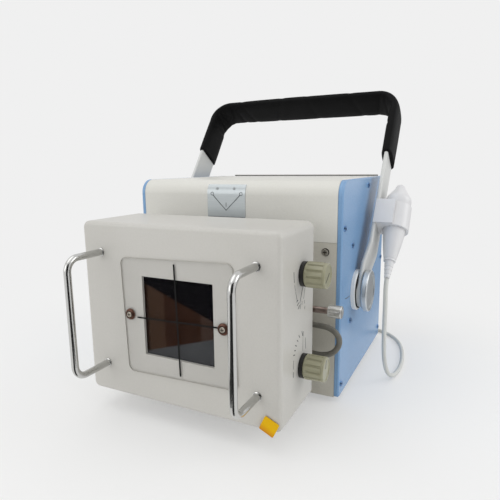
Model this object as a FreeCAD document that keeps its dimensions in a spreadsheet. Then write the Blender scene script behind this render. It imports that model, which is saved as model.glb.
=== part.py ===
import FreeCAD, Part
import math
import os
import Sketcher

# A portable x-ray unit: a cream and blue generator housing that stands on rubber feet, a light
# collimator box turning on its beam port, and a strap handle that clamps on two side pivots.
# X points to the right of someone facing the collimator, Y runs back through the housing and
# Z is up. The origin is the middle of the stand bolt holes, on the underside of the base plate.

SIZES = (
    ("width", 222, "housing over both side panels"),
    ("depth", 190, "housing, front plate to rear panel"),
    ("height", 204, "housing, underside of base to top of cover"),
    ("panel_thick", 4.5, "blue side panel"),
    ("panel_bevel", 1.2, "bevel round a side panel's outer edge"),
    ("frame_thick", 3, "steel side frame behind a side panel"),
    ("cover_thick", 2, "bent sheet of the top cover"),
    ("cover_round", 14, "outer bend of the top cover and side panels"),
    ("seam_height", 148.5, "lower edge of the top cover, front and rear"),
    ("seam_gap", 0.3, "open joint beside a cover's edges"),
    ("front_thick", 2, "front plate"),
    ("rear_thick", 3, "rear panel"),
    ("base_thick", 6, "base plate"),
    ("foot_height", 5, "rubber foot below the base"),
    ("foot_radius", 9, "rubber foot where it meets the base"),
    ("foot_stem", 3, "stem of a rubber foot through the base"),
    ("foot_inset", 20, "foot centre from the sides of the base"),
    ("stand_pitch_x", 120, "stand bolt holes, left to right"),
    ("stand_pitch_y", 100, "stand bolt holes, front to back"),
    ("stand_bolt_radius", 2.5, "tapped stand hole, thread core"),
    ("beam_height", 93, "beam axis above the base's underside"),
    ("gap_depth", 32, "open gap between housing and collimator"),
    ("spigot_radius", 45, "port spigot that the collimator turns on"),
    ("spigot_wall", 11, "wall of the port spigot"),
    ("port_flange_radius", 56, "port flange on the front plate"),
    ("port_flange_thick", 4, "port flange on the front plate"),
    ("swivel_radius", 58, "outside of the swivel ring"),
    ("swivel_thick", 15, "swivel ring behind the collimator"),
    ("running_gap", 0.05, "radial clearance of a turning fit"),
    ("slide_gap", 0.3, "clearance beside a sliding or free piece"),
    ("box_width", 190, "collimator box, left to right"),
    ("box_height", 156, "collimator box, bottom to top"),
    ("box_depth", 70, "collimator box, front to back"),
    ("box_drop", 77.5, "beam axis above the box's underside"),
    ("box_wall", 2.5, "collimator box wall"),
    ("box_corner", 6, "collimator box corner seen from the front"),
    ("box_edge", 3.5, "rounding round the collimator's front face"),
    ("window_width", 69, "beam window opening"),
    ("window_shift", 3, "beam window centre right of the box's middle"),
    ("sheet_width", 109, "clear crosshair sheet"),
    ("sheet_height", 102, "clear crosshair sheet"),
    ("sheet_thick", 1.2, "clear crosshair sheet"),
    ("sheet_turn", 1.7, "turn of the crosshair sheet on its two screws, degrees"),
    ("sheet_corner", 6, "corner of the crosshair sheet"),
    ("sheet_screw_reach", 45.8, "crosshair sheet screw from the middle"),
    ("washer_radius", 5, "cup washer under a crosshair sheet screw"),
    ("rod_radius", 3, "steel rod of a collimator handle"),
    ("rod_bend", 11, "bend of a collimator handle"),
    ("rod_reach", 38, "collimator handle, front face to middle of the bar"),
    ("rod_pitch", 102, "collimator handle, leg to leg"),
    ("rod_side", 75, "collimator handle from the box's middle"),
    ("rod_rise", 1, "middle of the handles above the beam axis"),
    ("knob_radius", 11, "shutter knob"),
    ("knob_length", 19, "shutter knob"),
    ("knob_rise", 39, "shutter knob axis above or below the beam axis"),
    ("knob_back", 25.5, "shutter knob axis in front of the box's back"),
    ("knob_ring", 1.2, "dark ring under a shutter knob"),
    ("knob_shaft", 4, "radius of a shutter knob's shaft"),
    ("flute_count", 12, "grooves round a shutter knob"),
    ("drum_radius", 12.6, "cord drum that moves a pair of shutter leaves"),
    ("leaf_open", 20, "shutter leaf edge from the beam axis at rest"),
    ("leaf_width", 36, "shutter leaf along its travel"),
    ("leaf_length", 80, "shutter leaf across its travel"),
    ("leaf_thick", 3, "shutter leaf"),
    ("lock_radius", 5.2, "head of the swivel lock screw"),
    ("lock_head", 14, "length of the lock screw's head"),
    ("lock_reach", 119, "end of the lock screw from the beam axis"),
    ("pivot_back", -40, "handle pivot behind the housing's middle"),
    ("pivot_height", 93, "handle pivot above the base's underside"),
    ("pivot_bolt_radius", 5, "handle pivot bolt"),
    ("spacer_radius", 20.5, "disc between side panel and handle"),
    ("spacer_thick", 4, "disc between side panel and handle"),
    ("washer_thick", 0.75, "black friction washer beside the handle"),
    ("clamp_radius", 20.8, "clamp disc on the pivot bolt"),
    ("clamp_thick", 5.8, "clamp disc on the pivot bolt"),
    ("face_gap", 0.05, "clearance between flat faces that turn on each other"),
    ("strap_width", 34, "handle strap, front to back"),
    ("strap_thick", 4, "handle strap"),
    ("strap_joggle", 3.7, "outward step of the strap above its pivot"),
    ("strap_knee", 24, "start of the strap's outward step from the pivot"),
    ("strap_step", 22, "length of the strap's outward step"),
    ("strap_reach", 245, "pivot to the middle of the grip"),
    ("strap_bend", 22, "strap's corner bend, on its middle"),
    ("strap_lean", 36, "lean of the handle to the rear, degrees"),
    ("grip_start", 165, "start of the grip sleeve from the pivot"),
    ("grip_width", 38, "grip sleeve, front to back"),
    ("grip_thick", 8.6, "grip sleeve over the strap"),
    ("grip_corner", 4, "rounding of the grip sleeve's long edges"),
    ("grip_play", 0.15, "clearance between the sleeve and the strap"),
    ("holder_low", 69, "lower end of the switch holder from the pivot"),
    ("holder_high", 97, "upper end of the switch holder from the pivot"),
    ("holder_wall", 1.6, "wall of the switch holder's ring"),
    ("switch_clear", 3.5, "clearance between the hand switch's shoulder and the strap"),
    ("switch_low", 33.5, "lower end of the hand switch from the pivot"),
    ("switch_shoulder", 109, "widest place of the hand switch from the pivot"),
    ("switch_top", 122, "top of the hand switch's shell from the pivot"),
    ("switch_radius", 13, "hand switch at its shoulder"),
    ("switch_waist", 11.6, "hand switch at the holder's lower end"),
    ("switch_foot", 5.6, "hand switch at its lower end"),
    ("button_radius", 3.9, "exposure button"),
    ("button_rise", 5, "exposure button above the hand switch"),
    ("relief_length", 18.5, "strain relief below the hand switch"),
    ("cord_radius", 2.2, "hand switch cord"),
    ("coil_middle", 25.5, "middle of the put-away coil's turns"),
    ("coil_bundle", 10, "half thickness of the put-away coil"),
    ("cable_radius", 2.6, "lamp cable between housing and collimator"),
    ("screw_radius", 1.5, "shank of a small screw"),
    ("screw_head", 3, "head of a side panel screw"),
    ("screw_rise", 1.3, "height of a side panel screw's head"),
    ("hole_gap", 0.1, "radial clearance of a screw hole"),
    ("tank_width", 136, "x-ray tank"),
    ("tank_height", 130, "x-ray tank"),
    ("tank_depth", 104, "x-ray tank"),
    ("tank_wall", 5, "x-ray tank"),
    ("tube_gap", 3, "x-ray tube's ends inside the tank's walls"),
    ("power_width", 176, "inverter board"),
    ("power_height", 160, "inverter board"),
    ("power_rise", 8, "inverter board above the base plate"),
    ("board_width", 156, "control board"),
    ("board_height", 80, "control board"),
    ("board_gap", 6.5, "control board below the cover's seam"),
    ("stud_inset", 6, "studs in from the control board's edges"),
    ("keypad_width", 160, "keypad overlay"),
    ("keypad_height", 74, "keypad overlay"),
    ("keypad_gap", 10.5, "keypad overlay below the cover's seam"),
    ("rocker_swing", 8, "tilt of the mains rocker at rest, degrees"),
)


class Size:
    """A length that carries its number and the sheet expression that gives it."""

    def __init__(self, number, text):
        self.number = float(number)
        self.text = text

    def __float__(self):
        return self.number

    def __add__(self, other):
        other = as_size(other)
        return Size(self.number + other.number, f"({self.text} + {other.text})")

    def __sub__(self, other):
        other = as_size(other)
        return Size(self.number - other.number, f"({self.text} - {other.text})")

    def __mul__(self, other):
        other = as_size(other)
        return Size(self.number * other.number, f"({self.text} * {other.text})")

    def __truediv__(self, other):
        other = as_size(other)
        return Size(self.number / other.number, f"({self.text} / {other.text})")

    def __radd__(self, other):
        return as_size(other) + self

    def __rsub__(self, other):
        return as_size(other) - self

    def __rmul__(self, other):
        return as_size(other) * self

    def __neg__(self):
        return as_size(0) - self


def as_size(value):
    """A plain number as a Size whose expression is the number itself."""
    if isinstance(value, Size):
        return value
    return Size(value, f"({float(value)!r})")


doc = FreeCAD.newDocument("portable_xray_unit")
sheet = doc.addObject("Spreadsheet::Sheet", "Sizes")
for row, (alias, number, note) in enumerate(SIZES, start=1):
    sheet.set(f"A{row}", note)
    sheet.set(f"B{row}", str(number))
    sheet.setAlias(f"B{row}", alias)
doc.recompute()


class Named:
    """Every cell of the sheet as a Size, by its alias."""


size = Named()
for alias, _, _ in SIZES:
    setattr(size, alias, Size(float(sheet.get(alias)), f"Sizes.{alias}"))

finished = {}
X_AXIS = FreeCAD.Vector(1, 0, 0)
Y_AXIS = FreeCAD.Vector(0, 1, 0)
Z_AXIS = FreeCAD.Vector(0, 0, 1)
TURNS = {
    "X": FreeCAD.Rotation(Y_AXIS, 90),
    "Y": FreeCAD.Rotation(X_AXIS, -90),
    "Z": FreeCAD.Rotation(),
}


def vec(x, y, z):
    """A vector from Sizes or numbers."""
    return FreeCAD.Vector(float(x), float(y), float(z))


def bind(item, name, value):
    """Tie one property of an object to the sheet."""
    item.setExpression(name, as_size(value).text)


def place(item, point):
    """Tie an object's position to the sheet."""
    for letter, value in zip("xyz", point):
        bind(item, f"Placement.Base.{letter}", value)


def keep(item, node):
    """Name a finished sub-part and list it for writing."""
    item.Label = node
    finished[node] = item
    return item


def block(low, high):
    """A block between its lowest and its highest corner."""
    item = doc.addObject("Part::Box", "Block")
    for name, start, end in zip(("Length", "Width", "Height"), low, high):
        bind(item, name, as_size(end) - start)
    place(item, low)
    return item


def rod(radius, start, length, axis="Z"):
    """A cylinder from its start point along an axis."""
    item = doc.addObject("Part::Cylinder", "Rod")
    bind(item, "Radius", radius)
    bind(item, "Height", length)
    item.Placement = FreeCAD.Placement(FreeCAD.Vector(), TURNS[axis])
    place(item, start)
    return item


def cone(radius_start, radius_end, start, length, axis="Z"):
    """A cone frustum from its start point along an axis."""
    item = doc.addObject("Part::Cone", "Taper")
    bind(item, "Radius1", radius_start)
    bind(item, "Radius2", radius_end)
    bind(item, "Height", length)
    item.Placement = FreeCAD.Placement(FreeCAD.Vector(), TURNS[axis])
    place(item, start)
    return item


def fuse(*items):
    """Several solids joined into one."""
    joined = doc.addObject("Part::MultiFuse", "Joined")
    joined.Shapes = list(items)
    joined.Refine = True
    return joined


def group(*items):
    """Like pieces kept as separate solids in one sub-part."""
    together = doc.addObject("Part::Compound", "Group")
    together.Links = list(items)
    return together


def cut(base, *tools):
    """A solid with other solids taken out of it."""
    taken = doc.addObject("Part::Cut", "Cut")
    taken.Base = base
    taken.Tool = tools[0] if len(tools) == 1 else group(*tools)
    taken.Refine = True
    return taken


def soften(item, radius, wanted, kind="Part::Fillet"):
    """Round or bevel the edges of a solid that pass a test."""
    doc.recompute()
    chosen = [number for number, edge in enumerate(item.Shape.Edges, start=1) if wanted(edge)]
    if not chosen:
        raise ValueError(f"no edge to soften on {item.Label}")
    soft = doc.addObject(kind, "Softened")
    soft.Base = item
    soft.Edges = [(number, float(radius), float(radius)) for number in chosen]
    return soft


def feature(shape):
    """A shape made directly, as an object of the document."""
    item = doc.addObject("Part::Feature", "Formed")
    item.Shape = shape
    return item


def runs_along(edge, direction):
    """Whether an edge is straight and lies along a direction."""
    if edge.Curve.TypeId != "Part::GeomLine":
        return False
    ends = edge.Vertexes
    line = ends[1].Point - ends[0].Point
    return line.cross(direction).Length < 1e-6 * line.Length


def lies_at(edge, axis, value):
    """Whether all of an edge lies at one value of x, y or z."""
    box = edge.BoundBox
    low, high = getattr(box, axis + "Min"), getattr(box, axis + "Max")
    return abs(low - float(value)) < 1e-4 and abs(high - float(value)) < 1e-4


def span(side, inner, outer):
    """The low and high x of a piece on the left (-1) or the right (1)."""
    return (inner, outer) if side > 0 else (-as_size(outer), -as_size(inner))


def new_body(node):
    """A body that becomes one sub-part."""
    body = doc.addObject("PartDesign::Body", "Body")
    return keep(body, node)


def sketch_on(body, role, offset=0):
    """A sketch on one of the body's own origin planes, moved along its normal."""
    plane = next(item for item in body.Origin.OriginFeatures if item.Role == role)
    sketch = body.newObject("Sketcher::SketchObject", "Sketch")
    sketch.AttachmentSupport = [(plane, "")]
    sketch.MapMode = "FlatFace"
    bind(sketch, "AttachmentOffset.Base.z", offset)
    return sketch


def pin_point(sketch, line, end, x, y):
    """Hold one point of a sketch at sheet values measured from the origin."""
    for kind, axis, value in (("DistanceX", -2, x), ("DistanceY", -1, y)):
        value = as_size(value)
        if abs(value.number) < 1e-9:
            sketch.addConstraint(Sketcher.Constraint("PointOnObject", line, end, axis))
            continue
        number = sketch.addConstraint(
            Sketcher.Constraint(kind, -1, 1, line, end, value.number))
        sketch.setExpression(f"Constraints[{number}]", value.text)


def outline(sketch, corners):
    """A closed outline of straight lines whose corners are all sheet values."""
    first = sketch.GeometryCount
    count = len(corners)
    points = [vec(x, y, 0) for x, y in corners]
    for number in range(count):
        sketch.addGeometry(Part.LineSegment(points[number], points[(number + 1) % count]))
    for number in range(count):
        following = first + (number + 1) % count
        sketch.addConstraint(
            Sketcher.Constraint("Coincident", first + number, 2, following, 1))
    for number, (x, y) in enumerate(corners):
        pin_point(sketch, first + number, 1, x, y)


def rectangle(sketch, left, right, low, high):
    """A rectangle in a sketch, from sheet values."""
    outline(sketch, ((left, low), (right, low), (right, high), (left, high)))


def circle(sketch, x, y, radius):
    """A circle in a sketch, from sheet values."""
    number = sketch.addGeometry(Part.Circle(vec(x, y, 0), Z_AXIS, float(radius)))
    pin_point(sketch, number, 3, x, y)
    size_number = sketch.addConstraint(Sketcher.Constraint("Radius", number, float(radius)))
    sketch.setExpression(f"Constraints[{size_number}]", as_size(radius).text)


def pad(body, sketch, length, backwards=False, both_ways=False):
    """Material added along the sketch's normal."""
    added = body.newObject("PartDesign::Pad", "Pad")
    added.Profile = sketch
    bind(added, "Length", length)
    added.Reversed = backwards
    added.Midplane = both_ways
    doc.recompute()
    return added


def pocket(body, sketch, length, backwards=False, both_ways=False):
    """Material taken away along the sketch's normal; it must take some."""
    before = body.Shape.Volume
    taken = body.newObject("PartDesign::Pocket", "Pocket")
    taken.Profile = sketch
    bind(taken, "Length", length)
    taken.Reversed = backwards
    taken.Midplane = both_ways
    doc.recompute()
    if not body.Shape.Volume < before - 1e-3:
        raise ValueError(f"a pocket of {body.Label} took nothing")
    return taken


def dress(body, kind, name, value, wanted):
    """A fillet or chamfer on the edges of a body's tip that pass a test."""
    tip = body.Tip
    names = [f"Edge{number}" for number, edge in enumerate(tip.Shape.Edges, start=1)
             if wanted(edge)]
    if not names:
        raise ValueError(f"no edge to dress on {body.Label}")
    dressed = body.newObject(kind, "Dressed")
    dressed.Base = (tip, names)
    bind(dressed, name, value)
    doc.recompute()
    return dressed


def fillet(body, radius, wanted):
    """Rounded edges on a body."""
    return dress(body, "PartDesign::Fillet", "Radius", radius, wanted)


def chamfer(body, width, wanted):
    """Bevelled edges on a body."""
    return dress(body, "PartDesign::Chamfer", "Size", width, wanted)


def revolve(body, sketch, axis_name="V_Axis"):
    """A full turn of a sketch about one of its own axes."""
    turned = body.newObject("PartDesign::Revolution", "Turned")
    turned.Profile = sketch
    turned.ReferenceAxis = (sketch, [axis_name])
    turned.Angle = 360
    doc.recompute()
    return turned


# Places that several pieces share.
half_width = size.width / 2
inner_half = half_width - size.panel_thick
cover_half = inner_half - size.seam_gap
front = -(size.depth / 2)
rear = size.depth / 2
box_back = front - size.gap_depth
box_front = box_back - size.box_depth
box_low = size.beam_height - size.box_drop
box_top = box_low + size.box_height
box_half = size.box_width / 2
wall_inside = box_front + size.box_wall
floor = -size.foot_height


# The generator housing: base plate, feet, side frames, plates, cover and side panels.

FOOT_SIDES = ((-1, -1), (1, -1), (-1, 1), (1, 1))


def foot_point(side_x, side_y):
    """The middle of one foot on the underside of the base plate."""
    return ((cover_half - size.foot_inset) * side_x, (rear - size.foot_inset) * side_y)


def make_base():
    """Aluminium base plate with four tapped stand holes and four foot screw holes."""
    body = new_body("base_plate")
    sketch = sketch_on(body, "XY_Plane")
    rectangle(sketch, -cover_half, cover_half, front + size.front_thick + size.seam_gap,
              rear - size.rear_thick - size.seam_gap)
    pad(body, sketch, size.base_thick)
    fillet(body, 2, lambda edge: runs_along(edge, Z_AXIS))
    holes = sketch_on(body, "XY_Plane")
    for side_x, side_y in FOOT_SIDES:
        circle(holes, size.stand_pitch_x / 2 * side_x, size.stand_pitch_y / 2 * side_y,
               size.stand_bolt_radius)
        circle(holes, *foot_point(side_x, side_y), size.foot_stem + size.hole_gap)
    pocket(body, holes, size.base_thick, backwards=True)


def make_feet():
    """Four tapered rubber feet, each pushed through the base plate on a barbed stem."""
    feet = []
    for side_x, side_y in FOOT_SIDES:
        x, y = foot_point(side_x, side_y)
        foot = cone(size.foot_radius - 1, size.foot_radius, (x, y, floor), size.foot_height)
        stem = rod(size.foot_stem, (x, y, floor + 1), size.base_thick + size.foot_height)
        barb = cone(size.foot_stem + 1.2, size.foot_stem - 0.5, (x, y, size.base_thick), 3)
        feet.append(fuse(foot, stem, barb))
    keep(group(*feet), "rubber_feet")


PANEL_SCREWS = ((-88, 161), (-57.5, 141), (-59.5, 66), (4, 196), (-88, 12), (87, 12),
                (87, 104), (80, 190))


def make_side_panel(side, node):
    """Blue side panel with rounded top corners, a bevelled face and screw holes."""
    body = new_body(node)
    sketch = sketch_on(body, "YZ_Plane", span(side, inner_half, half_width)[0])
    rectangle(sketch, front, rear, 0, size.height)
    pad(body, sketch, size.panel_thick)
    fillet(body, size.cover_round,
           lambda edge: runs_along(edge, X_AXIS) and lies_at(edge, "Z", size.height))
    fillet(body, 3, lambda edge: runs_along(edge, X_AXIS) and lies_at(edge, "Z", 0))
    chamfer(body, size.panel_bevel, lambda edge: lies_at(edge, "X", half_width * side))
    holes = sketch_on(body, "YZ_Plane", span(side, inner_half, half_width)[0])
    for back, up in PANEL_SCREWS:
        circle(holes, back, up, size.screw_radius + size.hole_gap)
    circle(holes, size.pivot_back, size.pivot_height,
           size.pivot_bolt_radius + size.hole_gap)
    pocket(body, holes, size.panel_thick, backwards=True)


def make_side_frame(side):
    """Steel frame sheet inside a side panel, with folded tabs at the front and rear."""
    body = doc.addObject("PartDesign::Body", "Frame")
    start = span(side, inner_half - size.frame_thick, inner_half)[0]
    inset = size.cover_thick + size.seam_gap
    frame_front = front + size.front_thick + size.seam_gap
    frame_rear = rear - size.rear_thick - size.seam_gap
    sketch = sketch_on(body, "YZ_Plane", start)
    rectangle(sketch, frame_front, frame_rear, size.base_thick, size.height - inset)
    pad(body, sketch, size.frame_thick)
    fillet(body, size.cover_round,
           lambda edge: runs_along(edge, X_AXIS) and lies_at(edge, "Z", size.height - inset))
    window = sketch_on(body, "YZ_Plane", start)
    rectangle(window, 8, 70, 30, size.height - 40)
    pocket(body, window, size.frame_thick, backwards=True)
    fillet(body, 8, lambda edge: runs_along(edge, X_AXIS) and 7 < edge.BoundBox.YMin < 71
           and 29 < edge.BoundBox.ZMin < float(size.height) - 39)
    holes = sketch_on(body, "YZ_Plane", start)
    for back, up in PANEL_SCREWS:
        circle(holes, back, up, size.screw_radius + size.hole_gap)
    circle(holes, size.pivot_back, size.pivot_height,
           size.pivot_bolt_radius + size.hole_gap)
    pocket(body, holes, size.frame_thick, backwards=True)
    low, high = span(side, inner_half - size.frame_thick - 16,
                     inner_half - size.frame_thick + 0.5)
    tabs = []
    taps = []
    for x, up in plate_screws(side):
        tabs.append(block((low, frame_front, up - 8),
                          (high, frame_front + size.frame_thick, up + 8)))
        taps.append(rod(size.screw_radius + size.hole_gap, (x, front, up), 10, "Y"))
    for x, up in rear_screws(side):
        tabs.append(block((low, frame_rear - size.frame_thick, up - 6),
                          (high, frame_rear, up + 8)))
        taps.append(rod(size.screw_radius + size.hole_gap, (x, rear - 12, up), 14, "Y"))
    return cut(fuse(body, *tabs), *taps)


def cross_screw(x, face, up, reach, toward):
    """A pan screw with a cross recess, its head in front of a face across Y."""
    under = face - 2 if toward > 0 else face
    radii = (size.screw_head - 0.4, size.screw_head + 0.7)[::toward]
    head = cone(*radii, (x, under, up), 2, "Y")
    start = face - 0.5 if toward > 0 else face + 0.5 - reach
    shank = rod(size.screw_radius, (x, start, up), reach, "Y")
    low = face - 2.2 if toward > 0 else face + 1
    slots = [block((x - wide, low, up - high), (x + wide, low + 1.2, up + high))
             for wide, high in ((2, 0.4), (0.4, 2))]
    return cut(fuse(head, shank), *slots)


def plate_screws(side):
    """Where a front plate screw sits on one side."""
    return (((cover_half - 10.5) * side, size.seam_height - 9),)


def rear_screws(side):
    """Where the rear panel screws sit on one side."""
    return tuple(((cover_half - 8) * side, up) for up in (14, size.seam_height - 10))


def make_screws():
    """Button screws of the side panels and cross-head screws of the front and rear."""
    screws = []
    for side in (-1, 1):
        for back, up in PANEL_SCREWS:
            low, high = span(side, inner_half - size.frame_thick, half_width)
            shank = rod(size.screw_radius, (low, back, up), high - low, "X")
            start = span(side, half_width, half_width + size.screw_rise)[0]
            radii = (size.screw_head, size.screw_head - 0.6)
            head = cone(*radii[::side], (start, back, up), size.screw_rise, "X")
            socket = rod(1.1, (start + (0.5 if side > 0 else -0.01), back, up),
                         size.screw_rise - 0.49, "X")
            screws.append(cut(fuse(shank, head), socket))
        for x, up in plate_screws(side):
            screws.append(cross_screw(x, front, up, 8, 1))
        for x, up in rear_screws(side):
            screws.append(cross_screw(x, rear, up, 8, -1))
    keep(group(*screws), "housing_screws")


def bent_sheet(outer_low, outer_high, low_end, top, bend, thick, half_length):
    """A sheet bent over two corners: an upside-down U seen from the side."""
    def profile(inset):
        left, right, up = outer_low + inset, outer_high - inset, top - inset
        radius = bend - inset
        edge = radius * math.sqrt(0.5)
        first = Part.LineSegment(vec(0, left, low_end), vec(0, left, up - radius))
        corner_1 = Part.Arc(vec(0, left, up - radius),
                            vec(0, left + radius - edge, up - radius + edge),
                            vec(0, left + radius, up))
        roof = Part.LineSegment(vec(0, left + radius, up), vec(0, right - radius, up))
        corner_2 = Part.Arc(vec(0, right - radius, up),
                            vec(0, right - radius + edge, up - radius + edge),
                            vec(0, right, up - radius))
        last = Part.LineSegment(vec(0, right, up - radius), vec(0, right, low_end))
        return [piece.toShape() for piece in (first, corner_1, roof, corner_2, last)]

    outside, inside = profile(0.0), profile(thick)
    feet = [Part.LineSegment(vec(0, outer_low, low_end), vec(0, outer_low + thick, low_end)),
            Part.LineSegment(vec(0, outer_high - thick, low_end), vec(0, outer_high, low_end))]
    edges = outside + inside + [foot.toShape() for foot in feet]
    wire = Part.Wire(Part.__sortEdges__(edges))
    sheet_shape = Part.Face(wire).extrude(vec(2 * half_length, 0, 0))
    sheet_shape.translate(vec(-half_length, 0, 0))
    return sheet_shape


def make_cover():
    """Cream top cover, one sheet bent down at the front and the rear to the seam."""
    shape = bent_sheet(float(front), float(rear), float(size.seam_height),
                       float(size.height), float(size.cover_round),
                       float(size.cover_thick), float(cover_half))
    keep(feature(shape), "top_cover")


def make_front_plate():
    """Front plate below the cover's seam, bored for the beam port and the lamp cable."""
    body = new_body("front_plate")
    sketch = sketch_on(body, "XZ_Plane", -front)
    rectangle(sketch, -cover_half, cover_half, 0, size.seam_height - size.seam_gap)
    pad(body, sketch, size.front_thick, backwards=True)
    holes = sketch_on(body, "XZ_Plane", -front)
    circle(holes, 0, size.beam_height, size.spigot_radius - size.spigot_wall)
    for side in (-1, 1):
        for x, up in plate_screws(side):
            circle(holes, x, up, size.screw_radius + size.hole_gap)
    circle(holes, *CABLE_IN, size.cable_radius + size.slide_gap)
    pocket(body, holes, size.front_thick)


# Rear panel: a keypad overlay with a display, the mains inlet, its rocker and the hand
# switch socket. Its places are measured from the housing's middle and the base's underside.
INLET = (-64, 34)
ROCKER = (-36, 34)
ROCKER_HALF = 7
BOARD = 1.6
board_back = rear - 14
SOCKET = (58, 38)
board_high = size.seam_height - size.board_gap
board_low = board_high - size.board_height
keypad_high = size.seam_height - size.keypad_gap
keypad_low = keypad_high - size.keypad_height
KEYS = tuple((26 * column - 52, keypad_low + 16 + 18 * row)
             for column in range(5) for row in range(2))


def make_rear_panel():
    """Rear panel below the cover's seam with its cut-outs and welded studs."""
    body = doc.addObject("PartDesign::Body", "RearSheet")
    sketch = sketch_on(body, "XZ_Plane", -rear)
    rectangle(sketch, -cover_half, cover_half, 0, size.seam_height - size.seam_gap)
    pad(body, sketch, size.rear_thick)
    holes = sketch_on(body, "XZ_Plane", -rear)
    rectangle(holes, INLET[0] - 14, ROCKER[0] + 10, INLET[1] - 11, INLET[1] + 11)
    circle(holes, *SOCKET, 8)
    for side in (-1, 1):
        for x, up in rear_screws(side):
            circle(holes, x, up, size.screw_radius + size.hole_gap)
    pocket(body, holes, size.rear_thick, backwards=True)
    aside = size.board_width / 2 - size.stud_inset
    studs = [rod(2.5, (x, board_back + BOARD, up), rear - size.rear_thick - board_back - BOARD,
                 "Y") for x in (-aside, aside)
             for up in (board_low + size.stud_inset, board_high - size.stud_inset)]
    keep(fuse(body, *studs), "rear_panel")


def make_keypad():
    """Membrane keypad with raised key domes and a raised display window."""
    thick = 0.8
    half = size.keypad_width / 2
    plate = block((-half, rear, keypad_low), (half, rear + thick, keypad_high))
    plate = soften(plate, 4, lambda edge: runs_along(edge, Y_AXIS))
    face = rear + thick
    domes = [soften(block((x - 9, face, up - 6), (x + 9, face + 0.6, up + 6)), 2,
                    lambda edge: runs_along(edge, Y_AXIS)) for x, up in KEYS]
    lens = block((-33, face, keypad_high - 26), (33, face + 0.5, keypad_high - 8))
    keep(fuse(plate, lens, *domes), "keypad_overlay")


def make_inlet():
    """Mains module: an inlet cup with three pins, and a well for the rocker beside it."""
    x, up = INLET
    rocker = ROCKER[0]
    flange = block((x - 18, rear, up - 14), (rocker + 14, rear + 2, up + 14))
    flange = soften(flange, 3, lambda edge: runs_along(edge, Y_AXIS))
    shell = block((x - 13.2, rear - 20, up - 9.7), (rocker + 9.2, rear, up + 9.7))
    cup = block((x - 11.2, rear - 18, up - 7.7), (x + 11.2, rear + 3, up + 7.7))
    cup = soften(cup, 2, lambda edge: runs_along(edge, Y_AXIS))
    well = block((rocker - ROCKER_HALF - size.slide_gap, rear - 14, up - 9),
                 (rocker + ROCKER_HALF + size.slide_gap, rear + 3, up + 9))
    pin = rod(1, (rocker - ROCKER_HALF - 1.2, rear, up), 2 * ROCKER_HALF + 2.4, "X")
    keep(fuse(cut(fuse(flange, shell), cup, well), pin), "mains_inlet")
    pins = [block((x + across - 1, rear - 18, up + rise - 2),
                  (x + across + 1, rear - 4, up + rise + 2))
            for across, rise in ((-7, -2), (0, 2), (7, -2))]
    keep(group(*pins), "inlet_pins")


def make_rocker():
    """Mains rocker with its two-slope face, bored for its pin, tilted to its off side."""
    body = new_body("mains_rocker")
    sketch = sketch_on(body, "YZ_Plane", ROCKER[0] - ROCKER_HALF)
    outline(sketch, ((-5, -7), (3.4, -8), (2, 0), (3.4, 8), (-5, 7)))
    pad(body, sketch, 2 * ROCKER_HALF)
    hole = sketch_on(body, "YZ_Plane", ROCKER[0] - ROCKER_HALF)
    circle(hole, 0, 0, 1 + size.running_gap)
    pocket(body, hole, 2 * ROCKER_HALF, backwards=True)
    body.Placement = FreeCAD.Placement(FreeCAD.Vector(), FreeCAD.Rotation(X_AXIS, 1))
    bind(body, "Placement.Rotation.Angle", size.rocker_swing)
    place(body, (0, rear, ROCKER[1]))


def make_mark_plate():
    """Thin silver alignment plate that wraps the cover's front bend."""
    thick, gap = 0.5, 0.02
    left, right, low = -27.5, 15, 167
    radius = float(size.cover_round)
    centre = vec(left, front + size.cover_round, size.height - size.cover_round)
    turn = math.radians(62)
    inner, outer = radius + gap, radius + gap + thick

    def at(reach, angle):
        return centre + vec(0, -reach * math.cos(angle), reach * math.sin(angle))

    start_in, start_out = at(inner, 0), at(outer, 0)
    edges = [
        Part.LineSegment(FreeCAD.Vector(left, start_out.y, low), start_out),
        Part.Arc(start_out, at(outer, turn / 2), at(outer, turn)),
        Part.LineSegment(at(outer, turn), at(inner, turn)),
        Part.Arc(at(inner, turn), at(inner, turn / 2), start_in),
        Part.LineSegment(start_in, FreeCAD.Vector(left, start_in.y, low)),
        Part.LineSegment(FreeCAD.Vector(left, start_in.y, low),
                         FreeCAD.Vector(left, start_out.y, low)),
    ]
    wire = Part.Wire([edge.toShape() for edge in edges])
    keep(feature(Part.Face(wire).extrude(vec(right - left, 0, 0))), "alignment_plate")


# Inside the housing: the oil tank with its x-ray tube, the transformer and the boards.

tank_front = front + size.front_thick
tank_rear = tank_front + size.tank_depth
tank_low = size.beam_height - size.tank_height / 2
tube_half = size.tank_width / 2 - size.tank_wall - size.tube_gap
TUBE_BACK = 46
TUBE_RADIUS = 22
BOARD_STEP = 14


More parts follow.
